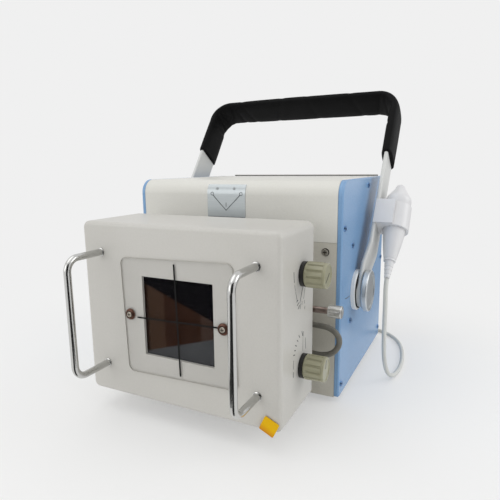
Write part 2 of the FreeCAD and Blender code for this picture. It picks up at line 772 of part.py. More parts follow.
def make_tank():
    """Cast oil tank on its rails, with a thin beam window, tube cradles and its lid."""
    half = size.tank_width / 2
    high = tank_low + size.tank_height
    wall = size.tank_wall
    outer = block((-half, tank_front, tank_low), (half, tank_rear, high))
    outer = soften(outer, 6, lambda edge: runs_along(edge, Y_AXIS))
    inner = block((-half + wall, tank_front + wall, tank_low + wall),
                  (half - wall, tank_rear + 1, high - wall))
    port = rod(30, (0, tank_front + 1.5, size.beam_height), wall, "Y")
    rails = [block((x, tank_front + 4, size.base_thick), (x + 12, tank_rear - 4, tank_low + 1))
             for x in (-56, 44)]
    back = front + TUBE_BACK
    cradles = [cut(block((x, back - 26, tank_low + wall - 1),
                         (x + 8, back + 26, size.beam_height - 4)),
                   rod(TUBE_RADIUS + 0.1, (x - 1, back, size.beam_height), 10, "X"))
               for x in (-34, 26)]
    keep(fuse(cut(outer, inner, port), *rails, *cradles), "tank_body")
    lid = block((-half, tank_rear, tank_low), (half, tank_rear + wall, high))
    lid = soften(lid, 6, lambda edge: runs_along(edge, Y_AXIS))
    posts = [rod(3, (x, tank_rear + wall - 1, up), BOARD_STEP + 1, "Y")
             for x in (-tube_half, tube_half) for up in (34, 150)]
    keep(fuse(lid, *posts), "tank_lid")


def make_tube():
    """X-ray tube lying across the tank: glass envelope, slanted anode and cathode cup."""
    back = front + TUBE_BACK
    up = size.beam_height
    body = new_body("xray_tube_glass")
    sketch = sketch_on(body, "XY_Plane")
    left, right = 5 - tube_half, tube_half - 4
    outline(sketch, ((left, 5.3), (left + 8, 5.3), (left + 15, TUBE_RADIUS - 2),
                     (right - 12, TUBE_RADIUS - 2), (right - 6, 8.3), (right, 8.3),
                     (right, 10), (right - 4.5, 10), (right - 10, TUBE_RADIUS),
                     (left + 13.5, TUBE_RADIUS), (left + 7, 7), (left, 7)))
    revolve(body, sketch, "H_Axis")
    place(body, (0, back, up))
    stem = rod(8, (8, back, up), tube_half - 8, "X")
    head = rod(13, (4, back, up), 16, "X")
    face = block((-5, back - 20, up - 20), (5, back + 20, up + 20))
    face.Placement.Rotation = FreeCAD.Rotation(Z_AXIS, 18)
    anode = cut(fuse(stem, head), face)
    recess = rod(3, (-18, back, up), 8, "X")
    leads = rod(5, (-tube_half, back, up), tube_half - 20, "X")
    cathode = cut(fuse(cone(7, 10, (-26, back, up), 12, "X"), leads), recess)
    keep(group(anode, cathode), "tube_electrodes")


def make_electrics():
    """High-voltage transformer, inverter board with its heat sink, and control board."""
    low = tank_low + size.tank_wall
    back = tank_rear - 32
    core = block((-45, back, low), (45, back + 26, low + 34))
    holes = [block((x, back - 1, low + 9), (x + 22, back + 27, low + 25)) for x in (-36, 14)]
    winding = block((-22, back - 4, low + 9.5), (22, back + 30, low + 24.5))
    keep(fuse(cut(core, *holes), winding), "transformer")
    board = tank_rear + size.tank_wall + BOARD_STEP
    half = size.power_width / 2
    under = size.base_thick + size.power_rise
    high = under + size.power_height
    plate = block((-half, board, under), (half, board + BOARD, high))
    cans = [rod(11, (x, board + 1, high - 28), 34, "Y") for x in (20, 48, 76)]
    keep(fuse(plate, *cans), "inverter_board")
    edge = 4 - half
    base = block((edge, board + BOARD, high - 54), (edge + 80, board + BOARD + 6, high - 4))
    fins = [block((edge + 8 * number, board + BOARD + 5, high - 54),
                  (edge + 8 * number + 2.5, board + 25, high - 4)) for number in range(10)]
    keep(fuse(base, *fins), "heat_sink")
    half = size.board_width / 2
    keep(block((-half, board_back, board_low), (half, board_back + BOARD, board_high)),
         "control_board")


# The beam port: a flanged spigot on the housing that the collimator turns on.

LOCK_SHANK = 2.3
LOCK_BACK = box_back + 7
GROOVE = 1.6


def make_port():
    """Port flange with the spigot that the swivel ring turns on, grooved for the lock."""
    reach = size.gap_depth + size.box_wall + 4
    body = new_body("port_flange")
    sketch = sketch_on(body, "XY_Plane")
    bore = size.spigot_radius - size.spigot_wall
    groove = front - LOCK_BACK
    outline(sketch, (
        (bore, 0), (size.port_flange_radius, 0),
        (size.port_flange_radius, -size.port_flange_thick),
        (size.spigot_radius, -size.port_flange_thick),
        (size.spigot_radius, LOCK_SHANK + size.slide_gap - groove),
        (size.spigot_radius - GROOVE, LOCK_SHANK + size.slide_gap - groove),
        (size.spigot_radius - GROOVE, -LOCK_SHANK - size.slide_gap - groove),
        (size.spigot_radius, -LOCK_SHANK - size.slide_gap - groove),
        (size.spigot_radius, -reach), (bore, -reach)))
    revolve(body, sketch)
    chamfer(body, 0.8, lambda edge: lies_at(edge, "Y", -size.port_flange_thick)
            and edge.BoundBox.XMax > float(size.port_flange_radius) - 0.1)
    place(body, (0, front, size.beam_height))


def make_swivel_ring():
    """Swivel ring bolted behind the collimator, with a tapped hole for the lock screw."""
    outer = rod(size.swivel_radius, (0, box_back, size.beam_height), size.swivel_thick, "Y")
    inner = rod(size.spigot_radius + size.running_gap,
                (0, box_back - 1, size.beam_height), size.swivel_thick + 2, "Y")
    hole = rod(LOCK_SHANK + size.hole_gap, (0, LOCK_BACK, size.beam_height),
               size.swivel_radius + 1, "X")
    ring = cut(outer, inner, hole)
    keep(soften(ring, 1, lambda edge: lies_at(edge, "Y", box_back + size.swivel_thick),
                "Part::Chamfer"), "swivel_ring")


def make_lock_screw():
    """Thumbscrew with a knurled head that locks the swivel ring on the spigot."""
    tip = size.spigot_radius - GROOVE + size.slide_gap
    head_start = size.lock_reach - size.lock_head
    shank = rod(LOCK_SHANK, (tip, LOCK_BACK, size.beam_height), head_start + 1 - tip, "X")
    neck = rod(3.6, (head_start - 2.5, LOCK_BACK, size.beam_height), 2.6, "X")
    head = rod(size.lock_radius, (head_start, LOCK_BACK, size.beam_height),
               size.lock_head, "X")
    head = soften(head, 0.7, lambda edge: edge.Curve.TypeId == "Part::GeomCircle",
                  "Part::Chamfer")
    ribs = []
    for number in range(20):
        turn = math.radians(18 * number)
        y = LOCK_BACK + (size.lock_radius + 0.15) * math.cos(turn)
        up = size.beam_height + (size.lock_radius + 0.15) * math.sin(turn)
        ribs.append(rod(0.45, (head_start + 1.2, y, up), size.lock_head - 2.4, "X"))
    keep(cut(fuse(shank, neck, head), *ribs), "lock_screw")


# The collimator: shell, back plate, window, crosshair sheet, handles and shutters.

POST = 9
TAPE_SLOT = (84, 24.2, 12, 2)
TAPE_DEPTH = 44
CABLE_OUT = (68, 73.5)
CABLE_IN = (74, 50)


def rod_heights():
    """The two leg heights of a collimator handle."""
    middle = size.beam_height + size.rod_rise
    return (middle - size.rod_pitch / 2, middle + size.rod_pitch / 2)


def knob_heights():
    """The lower and the upper shutter knob's axis."""
    return (size.beam_height - size.knob_rise, size.beam_height + size.knob_rise)


KNOB_AXIS = box_back - size.knob_back
DRUM_SIDE = 44


def make_box_shell():
    """Collimator shell: rounded box open at the back, with corner posts and its holes."""
    body = new_body("collimator_shell")
    wall = size.box_wall
    side_in, low_in, top_in = box_half - wall, box_low + wall, box_top - wall
    sketch = sketch_on(body, "XZ_Plane", -box_back)
    rectangle(sketch, -box_half, box_half, box_low, box_top)
    pad(body, sketch, size.box_depth)
    fillet(body, size.box_corner, lambda edge: runs_along(edge, Y_AXIS))
    fillet(body, size.box_edge, lambda edge: lies_at(edge, "Y", box_front))
    hollow = sketch_on(body, "XZ_Plane", -box_back)
    rectangle(hollow, -side_in, side_in, low_in, top_in)
    pocket(body, hollow, size.box_depth - wall, backwards=True)
    posts = sketch_on(body, "XZ_Plane", -box_back + wall + size.seam_gap)
    for side in (-1, 1):
        for low, high in ((low_in - 0.5, low_in + POST), (top_in - POST, top_in + 0.5)):
            rectangle(posts, (side_in - POST) * side, (side_in + 0.5) * side, low, high)
    pad(body, posts, size.box_depth - 2 * wall)
    x, up, wide, high = TAPE_SLOT
    ribs = sketch_on(body, "XZ_Plane", 0.5 - wall_inside)
    for side in (-1, 1):
        for height in rod_heights():
            circle(ribs, size.rod_side * side, height, 5)
    pad(body, ribs, 6, backwards=True)
    guide = sketch_on(body, "XZ_Plane", 0.5 - wall_inside)
    rectangle(guide, x - wide / 2 - 2.5, side_in - POST + 1, low_in - 0.5, up + high / 2 + 3)
    pad(body, guide, TAPE_DEPTH, backwards=True)
    stand = sketch_on(body, "XZ_Plane", 8 - KNOB_AXIS)
    for side in (-1, 1):
        rectangle(stand, 26 * side, 28 * side, low_in - 0.5, size.beam_height - 9)
    pad(body, stand, 16, backwards=True)
    openings = sketch_on(body, "XZ_Plane", -box_front)
    half = size.window_width / 2
    rectangle(openings, size.window_shift - half, size.window_shift + half,
              size.beam_height - half, size.beam_height + half)
    for side in (-1, 1):
        circle(openings, size.window_shift / 3 + size.sheet_screw_reach * side,
               size.beam_height, size.screw_radius + size.hole_gap)
    pocket(body, openings, wall + 1)
    slots = sketch_on(body, "XZ_Plane", -box_front)
    for side in (-1, 1):
        for height in rod_heights():
            circle(slots, size.rod_side * side, height, size.screw_radius + size.hole_gap)
    pocket(body, slots, wall + 7)
    tape = sketch_on(body, "XZ_Plane", -box_front)
    rectangle(tape, x - wide / 2, x + wide / 2, up - high / 2, up + high / 2)
    pocket(body, tape, TAPE_DEPTH)
    shafts = sketch_on(body, "YZ_Plane", box_half)
    for height in knob_heights():
        circle(shafts, KNOB_AXIS, height, size.knob_shaft + size.running_gap)
    pocket(body, shafts, wall + 1)
    taps = sketch_on(body, "XZ_Plane", -box_back)
    for side in (-1, 1):
        for height in (low_in + POST / 2, top_in - POST / 2):
            circle(taps, (side_in - POST / 2) * side, height, size.screw_radius + size.hole_gap)
    pocket(body, taps, 14, backwards=True)


def make_box_back():
    """Collimator back plate, set into the shell, with four screws into the posts."""
    body = new_body("collimator_back")
    wall = size.box_wall + size.seam_gap
    sketch = sketch_on(body, "XZ_Plane", -box_back)
    rectangle(sketch, -box_half + wall, box_half - wall, box_low + wall, box_top - wall)
    pad(body, sketch, size.box_wall)
    holes = sketch_on(body, "XZ_Plane", -box_back)
    circle(holes, 0, size.beam_height, size.spigot_radius + size.running_gap)
    circle(holes, *CABLE_OUT, size.cable_radius + size.slide_gap)
    points = []
    for side in (-1, 1):
        for up in (box_low + size.box_wall + POST / 2, box_top - size.box_wall - POST / 2):
            x = (box_half - size.box_wall - POST / 2) * side
            points.append((x, up))
            circle(holes, x, up, size.screw_radius + size.hole_gap)
    pocket(body, holes, size.box_wall, backwards=True)
    screws = [fuse(rod(size.screw_head, (x, box_back, up), 1.5, "Y"),
                   rod(size.screw_radius, (x, box_back - 10, up), 10.5, "Y"))
              for x, up in points]
    keep(group(*screws), "collimator_back_screws")


def make_window():
    """Dark window pane behind the opening, and the clear crosshair sheet on the face."""
    half = size.window_width / 2 + 3
    pane = block((size.window_shift - half, wall_inside, size.beam_height - half),
                 (size.window_shift + half, wall_inside + 2, size.beam_height + half))
    keep(pane, "beam_window")
    body = new_body("crosshair_sheet")
    sketch = sketch_on(body, "XZ_Plane")
    wide, high = size.sheet_width / 2, size.sheet_height / 2
    rectangle(sketch, -wide, wide, -high, high)
    pad(body, sketch, size.sheet_thick)
    fillet(body, size.sheet_corner, lambda edge: runs_along(edge, Y_AXIS))
    holes = sketch_on(body, "XZ_Plane")
    offset = size.window_shift / 3 - size.window_shift
    turn = math.radians(float(size.sheet_turn))
    for side in (-1, 1):
        reach = offset + size.sheet_screw_reach * side
        circle(holes, reach * math.cos(turn), reach * -math.sin(turn), size.screw_radius + 1)
    pocket(body, holes, size.sheet_thick, backwards=True)
    chamfer(body, 0.3, lambda edge: lies_at(edge, "Y", -size.sheet_thick))
    body.Placement = FreeCAD.Placement(FreeCAD.Vector(), FreeCAD.Rotation(Y_AXIS, -1))
    bind(body, "Placement.Rotation.Angle", size.sheet_turn)
    body.Placement.Rotation.Axis = FreeCAD.Vector(0, -1, 0)
    place(body, (size.window_shift, box_front, size.beam_height))


def make_sheet_screws():
    """Cup washers with cross-head screws that hold the crosshair sheet at both sides."""
    pieces = []
    face = box_front - size.sheet_thick
    for side in (-1, 1):
        x = size.window_shift / 3 + size.sheet_screw_reach * side
        washer = doc.addObject("PartDesign::Body", "CupWasher")
        sketch = sketch_on(washer, "XY_Plane")
        outline(sketch, ((size.screw_radius + size.hole_gap, 0), (size.washer_radius, 0),
                         (size.washer_radius - 0.4, -0.9), (size.washer_radius - 1.4, -1.6),
                         (size.screw_head + 0.2, -1.6), (size.screw_head + 0.2, -0.7),
                         (size.screw_radius + size.hole_gap, -0.7)))
        revolve(washer, sketch)
        place(washer, (x, face, size.beam_height))
        head = cone(size.screw_head - 0.9, size.screw_head, (x, face - 2.1, size.beam_height),
                    1.4, "Y")
        shank = rod(size.screw_radius, (x, face - 1, size.beam_height), 7, "Y")
        slots = [block((x - wide, face - 2.4, size.beam_height - high),
                       (x + wide, face - 1.4, size.beam_height + high))
                 for wide, high in ((1.6, 0.35), (0.35, 1.6))]
        pieces += [washer, cut(fuse(head, shank), *slots)]
    keep(group(*pieces), "sheet_screws")


def tangent_path(points, radii=None):
    """A wire of straight runs joined by tangent arcs at the inner points."""
    points = [FreeCAD.Vector(*[float(value) for value in point]) for point in points]
    edges = []
    used = []
    start = points[0]
    for number in range(1, len(points) - 1):
        before, corner, after = points[number - 1:number + 2]
        back, ahead = before - corner, after - corner
        half_turn = (math.pi - back.getAngle(ahead)) / 2
        if radii is None:
            radius = 0.45 * min(back.Length, ahead.Length) / math.tan(half_turn)
        else:
            radius = float(radii[number - 1])
        used.append(radius)
        trim = radius * math.tan(half_turn)
        enter = corner + back.normalize() * trim
        leave = corner + ahead.normalize() * trim
        inward = (back + ahead).normalize()
        middle = corner + inward * (radius / math.cos(half_turn) - radius)
        edges.append(Part.LineSegment(start, enter).toShape())
        edges.append(Part.Arc(enter, middle, leave).toShape())
        start = leave
    edges.append(Part.LineSegment(start, points[-1]).toShape())
    return Part.Wire(edges), used


def swept(path, section):
    """A solid made by carrying a closed section along a path."""
    return path.makePipeShell([section], True, False)


def round_section(path, radius):
    """A circular section square to the start of a path."""
    edge = path.Edges[0]
    start = edge.Vertexes[0].Point
    return Part.Wire(Part.makeCircle(float(radius), start, edge.tangentAt(edge.FirstParameter)))


def make_rod_handles():
    """Two bent steel rod handles with turned-down studs into the shell's bosses."""
    low, high = rod_heights()
    bar = box_front - size.rod_reach
    handles = []
    for side in (-1, 1):
        x = size.rod_side * side
        path, _ = tangent_path(((x, box_front, low), (x, bar, low), (x, bar, high),
                                (x, box_front, high)), (size.rod_bend, size.rod_bend))
        bent = feature(swept(path, round_section(path, size.rod_radius)))
        studs = [rod(size.screw_radius, (x, box_front - 1, up), size.box_wall + 6, "Y")
                 for up in (low, high)]
        handles.append(fuse(bent, *studs))
    keep(group(*handles), "collimator_handles")


def make_knob(up, node):
    """Fluted shutter knob on its shaft, with the cord drum that moves two leaves."""
    body = new_body(node)
    start = box_half + size.face_gap
    ring = sketch_on(body, "YZ_Plane", start)
    circle(ring, KNOB_AXIS, up, size.knob_radius + 0.6)
    pad(body, ring, size.knob_ring)
    grip = sketch_on(body, "YZ_Plane", start + size.knob_ring)
    circle(grip, KNOB_AXIS, up, size.knob_radius)
    pad(body, grip, size.knob_length)
    tip = start + size.knob_ring + size.knob_length
    chamfer(body, 0.9, lambda edge: lies_at(edge, "X", tip))
    grooves = sketch_on(body, "YZ_Plane", tip - 3)
    for number in range(int(float(size.flute_count))):
        turn = 2 * math.pi * number / float(size.flute_count)
        reach = size.knob_radius + 0.9
        circle(grooves, KNOB_AXIS + reach * math.cos(turn), up + reach * math.sin(turn), 1.9)
    pocket(body, grooves, size.knob_length - 5)
    dish = sketch_on(body, "YZ_Plane", tip)
    circle(dish, KNOB_AXIS, up, size.knob_radius - 2.2)
    pocket(body, dish, 0.6)
    shaft = sketch_on(body, "YZ_Plane", DRUM_SIDE - 4)
    circle(shaft, KNOB_AXIS, up, size.knob_shaft)
    pad(body, shaft, start + 1 - DRUM_SIDE + 4)
    drum = sketch_on(body, "YZ_Plane", DRUM_SIDE)
    circle(drum, KNOB_AXIS, up, size.drum_radius)
    pad(body, drum, 9)


LEAF_FRONT = 7.5


def make_shutters():
    """Guide frame between two crossed pairs of shutter leaves."""
    near = wall_inside + LEAF_FRONT
    far = near + size.leaf_thick + 2.4
    gap = size.face_gap * 2
    frame_low = near + size.leaf_thick + gap
    frame_high = far - gap
    plate = block((-75, frame_low, box_low + size.box_wall),
                  (75, frame_high, box_top - size.box_wall))
    hole = block((-38, frame_low - 1, size.beam_height - 38),
                 (38, frame_high + 1, size.beam_height + 38))
    keep(cut(plate, hole), "leaf_guide")
    half = size.leaf_length / 2
    inner, outer = size.leaf_open, size.leaf_open + size.leaf_width
    for side, node in ((-1, "shutter_leaf_left"), (1, "shutter_leaf_right")):
        low, high = span(side, inner, outer)
        keep(block((low, far, size.beam_height - half),
                   (high, far + size.leaf_thick, size.beam_height + half)), node)
    for side, node in ((-1, "shutter_leaf_low"), (1, "shutter_leaf_high")):
        low, high = span(side, inner, outer)
        keep(block((-half, near, size.beam_height + low),
                   (half, near + size.leaf_thick, size.beam_height + high)), node)


def make_lamp():
    """Field lamp on its heat sink and the thin mirror that folds its light into the beam."""
    top = box_top - size.box_wall
    base = block((-16, KNOB_AXIS - 14, top - 8), (16, KNOB_AXIS + 14, top))
    barrel = rod(8, (0, KNOB_AXIS, top - 20), 13, "Z")
    bore = rod(6, (0, KNOB_AXIS, top - 21), 6, "Z")
    keep(cut(fuse(base, barrel), bore), "field_lamp")
    mirror = Part.makeBox(58, 1.2, 52, FreeCAD.Vector(-29, -0.6, -26))
    mirror.Placement = FreeCAD.Placement(vec(0, KNOB_AXIS, size.beam_height),
                                         FreeCAD.Rotation(X_AXIS, -45))
    keep(feature(mirror), "field_mirror")


def make_tape():
    """Tape measure blade in its guide, with the yellow pull tab on its end."""
    x, up, wide, _ = TAPE_SLOT
    blade = block((x - wide / 2 + 0.5, box_front - 1, up - 0.3),
                  (x + wide / 2 - 0.5, box_front + TAPE_DEPTH - 1, up + 0.3))
    tab = Part.makeBox(11.5, 1.4, 12.6, FreeCAD.Vector(-5.75, -1.4, -6.3))
    tab.Placement = FreeCAD.Placement(vec(x + 2, box_front - 0.4, up - 3.6),
                                      FreeCAD.Rotation(Y_AXIS, 29))
    keep(fuse(blade, feature(tab)), "tape_tab")


# The carrying handle: a steel strap bent into a U, built upright about its pivot and then
# leant back, with the grip sleeve, the switch holder and the hand switch beside it.

strap_middle = half_width + size.spacer_thick + size.washer_thick + size.face_gap \
    + size.strap_thick / 2
strap_face = strap_middle + size.strap_joggle + size.strap_thick / 2
switch_side = strap_face + size.switch_clear + size.switch_radius


def lean(item):
    """Carry a piece built about the pivot to its place, leaning back."""
    item.Placement = FreeCAD.Placement(
        FreeCAD.Vector(), FreeCAD.Rotation(FreeCAD.Vector(-1, 0, 0), 30))
    bind(item, "Placement.Rotation.Angle", size.strap_lean)
    place(item, (0, size.pivot_back, size.pivot_height))
    return item


def strap_path(start):
    """The strap's middle line from one leg over the top to the other."""
    out = strap_middle + size.strap_joggle
    legs = [(strap_middle, 0, start), (strap_middle, 0, size.strap_knee),
            (out, 0, size.strap_knee + size.strap_step)]
    if start > float(size.strap_knee):
        legs = [(out, 0, start)]
    right = legs + [(out, 0, size.strap_reach)]
    left = [(-as_size(x), y, up) for x, y, up in reversed(right)]
    bends = [25, 25] if len(legs) > 1 else []
    path, _ = tangent_path(right + left,
                           bends + [size.strap_bend, size.strap_bend] + bends[::-1])
    return path


def strap_section(path, width, thick, corner):
    """A rounded rectangle square to the start of an upright leg."""
    start = path.Edges[0].Vertexes[0].Point
    wide, deep = float(thick) / 2, float(width) / 2
    plate = Part.makeBox(2 * wide, 2 * deep, 1, start + FreeCAD.Vector(-wide, -deep, 0))
    rounded = plate.makeFillet(float(corner), [edge for edge in plate.Edges
                                               if runs_along(edge, Z_AXIS)])
    face = min(rounded.Faces, key=lambda one: one.BoundBox.ZMax)
    return face.OuterWire


def make_strap():
    """Steel strap with rounded ends, bored for the pivot bolts."""
    end = float(size.strap_width) / 2
    path = strap_path(-end)
    solid = swept(path, strap_section(path, size.strap_width, size.strap_thick,
                                      float(size.strap_thick) * 0.45))
    reach = float(strap_middle + size.strap_joggle) + 10
    mask = Part.makeCylinder(end, 2 * reach, FreeCAD.Vector(-reach, 0, 0), X_AXIS)
    mask = mask.fuse(Part.makeBox(2 * reach, 2 * end + 2, float(size.strap_reach) + 20,
                                  FreeCAD.Vector(-reach, -end - 1, 0)))
    solid = solid.common(mask)
    bolt = Part.makeCylinder(float(size.pivot_bolt_radius + size.running_gap), 2 * reach,
                             FreeCAD.Vector(-reach, 0, 0), X_AXIS)
    keep(lean(feature(solid.cut(bolt))), "handle_strap")


def make_grip():
    """Black foam sleeve over the strap's top and upper legs."""
    path = strap_path(float(size.grip_start))
    outer = swept(path, strap_section(path, size.grip_width, size.grip_thick, size.grip_corner))
    play = size.grip_play * 2
    inner = swept(path, strap_section(path, size.strap_width + play, size.strap_thick + play,
                                      float(size.strap_thick) * 0.45))
    keep(lean(feature(outer.cut(inner))), "foam_grip")


def switch_profile(clearance=0.0):
    """The hand switch's half outline, as radius and height pairs up its axis."""
    low, shoulder, top = size.switch_low, size.switch_shoulder, size.switch_top
    return [(size.switch_foot + clearance, low),
            (size.switch_foot + 1.7 + clearance, low + 8),
            (size.switch_waist - 1.7 + clearance, low + 24),
            (size.switch_waist + clearance, size.holder_low + 2),
            (size.switch_radius - 0.6 + clearance, size.holder_high),
            (size.switch_radius + clearance, shoulder - 2),
            (size.switch_radius - 1.4 + clearance, shoulder + 4.5),
            (size.switch_radius - 4.6 + clearance, shoulder + 9.5),
            (size.button_radius + 1.8 + clearance, top)]


def lathe(pairs):
    """A solid turned about the hand switch's upright axis, smooth through its outline."""
    side = float(switch_side)
    points = [vec(side + radius, 0, up) for radius, up in pairs]
    curve = Part.BSplineCurve()
    curve.interpolate(points)
    low, high = vec(side, 0, points[0].z), vec(side, 0, points[-1].z)
    edges = [Part.LineSegment(high, points[-1]).toShape(), curve.toShape().reversed(),
             Part.LineSegment(points[0], low).toShape(), Part.LineSegment(low, high).toShape()]
    face = Part.Face(Part.Wire(edges))
    solid = face.revolve(vec(side, 0, 0), Z_AXIS, 360)
    if solid.Volume < 0:
        solid.reverse()
    return solid


def make_holder():
    """Switch holder: a bracket over the strap's front edge with a tapered ring."""
    low, high = float(size.holder_low), float(size.holder_high)
    side = float(switch_side)
    strap_out = float(strap_face)
    deep = float(size.strap_width) / 2
    bracket = Part.makeBox(side - strap_out + 3, deep + 1.2 + 9, high - low,
                           FreeCAD.Vector(strap_out - 3, -deep - 1.2, low))
    ring_radius = float(size.switch_radius - 0.6 + size.slide_gap + size.holder_wall)
    ring = Part.makeCylinder(ring_radius, high - low, FreeCAD.Vector(side, 0, low))
    shape = bracket.fuse(ring)
    bore = lathe(switch_profile(float(size.slide_gap)))
    slot = Part.makeBox(2 * float(size.strap_thick), 2 * deep + 0.2, high - low + 2,
                        FreeCAD.Vector(strap_out + 0.1 - 2 * float(size.strap_thick),
                                       -deep - 0.1, low - 1))
    shape = shape.cut(bore).cut(slot).removeSplitter()
    keep(lean(feature(shape)), "switch_holder")


def make_switch():
    """Hand switch shell, its button in a bore, and the ribbed strain relief below it."""
    side = float(switch_side)
    shell = lathe(switch_profile())
    rise = float(size.button_rise)
    top = float(size.switch_top)
    bore = Part.makeCylinder(float(size.button_radius) + 0.3, 9,
                             FreeCAD.Vector(side, 0, top - 8.5))
    shell = shell.cut(bore)
    keep(lean(feature(shell)), "hand_switch_shell")
    button = Part.makeCylinder(float(size.button_radius), rise + 4,
                               FreeCAD.Vector(side, 0, top - 4))
    button = button.makeFillet(1.5, [edge for edge in button.Edges
                                     if lies_at(edge, "Z", top + rise)])
    keep(lean(feature(button)), "exposure_button")
    low = float(size.switch_low)
    length = float(size.relief_length)
    relief = Part.makeCone(float(size.cord_radius) + 0.5, float(size.cord_radius) + 1.6, length,
                           FreeCAD.Vector(side, 0, low - length))
    for number in range(5):
        height = low - length + 2.5 + 3.1 * number
        ring = Part.makeCylinder(6, 1, FreeCAD.Vector(side, 0, height))
        core = Part.makeCylinder(float(size.cord_radius) + 0.4, 1,
                                 FreeCAD.Vector(side, 0, height))
        relief = relief.cut(ring.cut(core))
    keep(lean(feature(relief)), "switch_strain_relief")


def make_pivots():
    """Pivot bolts, spacer discs, friction washers and clamp discs on both sides."""
    spacers, bolts, washers = [], [], []
    back, up = size.pivot_back, size.pivot_height
    strap_in = half_width + size.spacer_thick + size.washer_thick + size.face_gap
    strap_out = strap_in + size.strap_thick
    clamp_in = strap_out + size.face_gap * 2 + size.washer_thick
    bolt_hole = size.pivot_bolt_radius + size.hole_gap
    for side, node in ((-1, "clamp_disc_left"), (1, "clamp_disc_right")):
        def disc(radius, inner, outer, hole=bolt_hole):
            low, high = span(side, inner, outer)
            solid = rod(radius, (low, back, up), high - low, "X")
            return cut(solid, rod(hole, (low - 1, back, up), high - low + 2, "X"))

        spacer = disc(size.spacer_radius, half_width, half_width + size.spacer_thick)
        spacers.append(soften(spacer, 0.8, lambda edge: edge.Curve.TypeId == "Part::GeomCircle"
                              and edge.BoundBox.ZLength > 30
                              and abs(edge.BoundBox.XMin) > float(half_width) + 1,
                              "Part::Chamfer"))
        washers.append(disc(size.spacer_radius - 2, half_width + size.spacer_thick,
                            strap_in - size.face_gap))
        washers.append(disc(size.strap_width / 2 - 0.5, strap_out + size.face_gap,
                            clamp_in - size.face_gap))
        head_in = inner_half - size.frame_thick - 5
        low, high = span(side, head_in, clamp_in + 4)
        shank = rod(size.pivot_bolt_radius, (low, back, up), high - low, "X")
        low, high = span(side, head_in, head_in + 5)
        bolts.append(fuse(shank, rod(9, (low, back, up), high - low, "X")))
        clamp_out = clamp_in + size.clamp_thick
        low, high = span(side, clamp_in, clamp_out)
        clamp = rod(size.clamp_radius, (low, back, up), high - low, "X")
        clamp = soften(clamp, 1.2, lambda edge: edge.Curve.TypeId == "Part::GeomCircle",
                       "Part::Fillet")
        low, high = span(side, clamp_in - 1, clamp_in + 4.1)
        bore = rod(size.pivot_bolt_radius + size.running_gap, (low, back, up),
                   high - low, "X")
        low, high = span(side, clamp_out - 0.6, clamp_out + 1)
        dish = rod(size.clamp_radius - 4, (low, back, up), high - low, "X")
        keep(cut(clamp, bore, dish), node)
    keep(group(*spacers), "pivot_spacers")
    keep(group(*bolts), "pivot_bolts")
    keep(group(*washers), "friction_washers")


# The lamp cable, held from the housing's front plate to the collimator's back, and the hand
# switch's cord, which hangs to the floor, runs behind the housing and lies there in a coil.

LAMP_ROUTE = ((68, -131, 73.5), (68.2, -113, 73.7), (78, -109, 74.8), (92, -109, 75.4),
              (106.6, -109.6, 75.3), (115.2, -110.4, 68), (115.6, -110.8, 57.4),
              (108.4, -110, 49.6), (96.6, -108.8, 47.6), (84.6, -107.6, 48.6),
              (75, -106, 49.8), (74, -90, 50))
COIL_AT = (30, 150)
PLUG_END = 131
HANG_ROUTE = ((140, -31.6, 104.6), (140.2, -37.4, 96.2), (141.4, -41.4, 82),
              (141.4, -41.4, 60))
FLOOR_ROUTE = ((141.4, -41.4, 60), (141.4, -41.4, 40), (142.4, -39, 19), (145.6, -32.4, 3.4),
               (149.4, -18, -2.4), (152.4, 8, -2.7), (149.8, 40, -2.7), (143.2, 72, -2.7),
               (129.2, 100, -2.7), (105, 116.6, -2.7), (76, 119.4, -2.4), (46, 119.8, -1))
TAIL_ROUTE = ((-1, 161.3, 8), (6.5, 182, 4), (20, 203, -1.8), (44, 212, -0.6), (64, 203, 8),
              (71, 184, 20), (67, 163, 31), (60, 146, 37), (58, 131, 38))


def cord_tube(node, route, radius):
    """A round cord along a route, checked against its section times its length."""
    path, used = tangent_path(route)
    solid = swept(path, round_section(path, radius))
    if solid.Volume < 0:
        solid.reverse()
    expected = math.pi * float(radius) ** 2 * path.Length
    print(f"{node}: length {path.Length:.1f} mm, volume ratio {solid.Volume / expected:.4f}, "
          f"radii {', '.join(f'{one:.1f}' for one in used)}")
    keep(feature(solid), node)


def make_cords():
    """Lamp cable with its two grommets, and the switch cord with coil, tie and plug."""
    cord_tube("lamp_cable", LAMP_ROUTE, size.cable_radius)
    cord_tube("switch_cord_hang", HANG_ROUTE, size.cord_radius)
    cord_tube("switch_cord_floor", FLOOR_ROUTE, size.cord_radius)
    cord_tube("switch_cord_tail", TAIL_ROUTE, size.cord_radius)
    x, back = COIL_AT
    coil = doc.addObject("Part::Torus", "Coil")
    bind(coil, "Radius1", size.coil_middle)
    bind(coil, "Radius2", size.coil_bundle)
    place(coil, (x, back, floor + size.coil_bundle))
    keep(coil, "switch_cord_coil")
    plug = fuse(rod(7.4, (SOCKET[0], rear + 3.2, SOCKET[1]), 20, "Y"),
                cone(6, 3.2, (SOCKET[0], rear + 23.2, SOCKET[1]), PLUG_END - 23.2 - rear, "Y"))
    keep(plug, "switch_plug")
    nut = rod(9.5, (SOCKET[0], rear, SOCKET[1]), 3.2, "Y")
    barrel = rod(7.8, (SOCKET[0], rear - 14, SOCKET[1]), 14, "Y")
    keep(fuse(nut, barrel), "switch_socket")


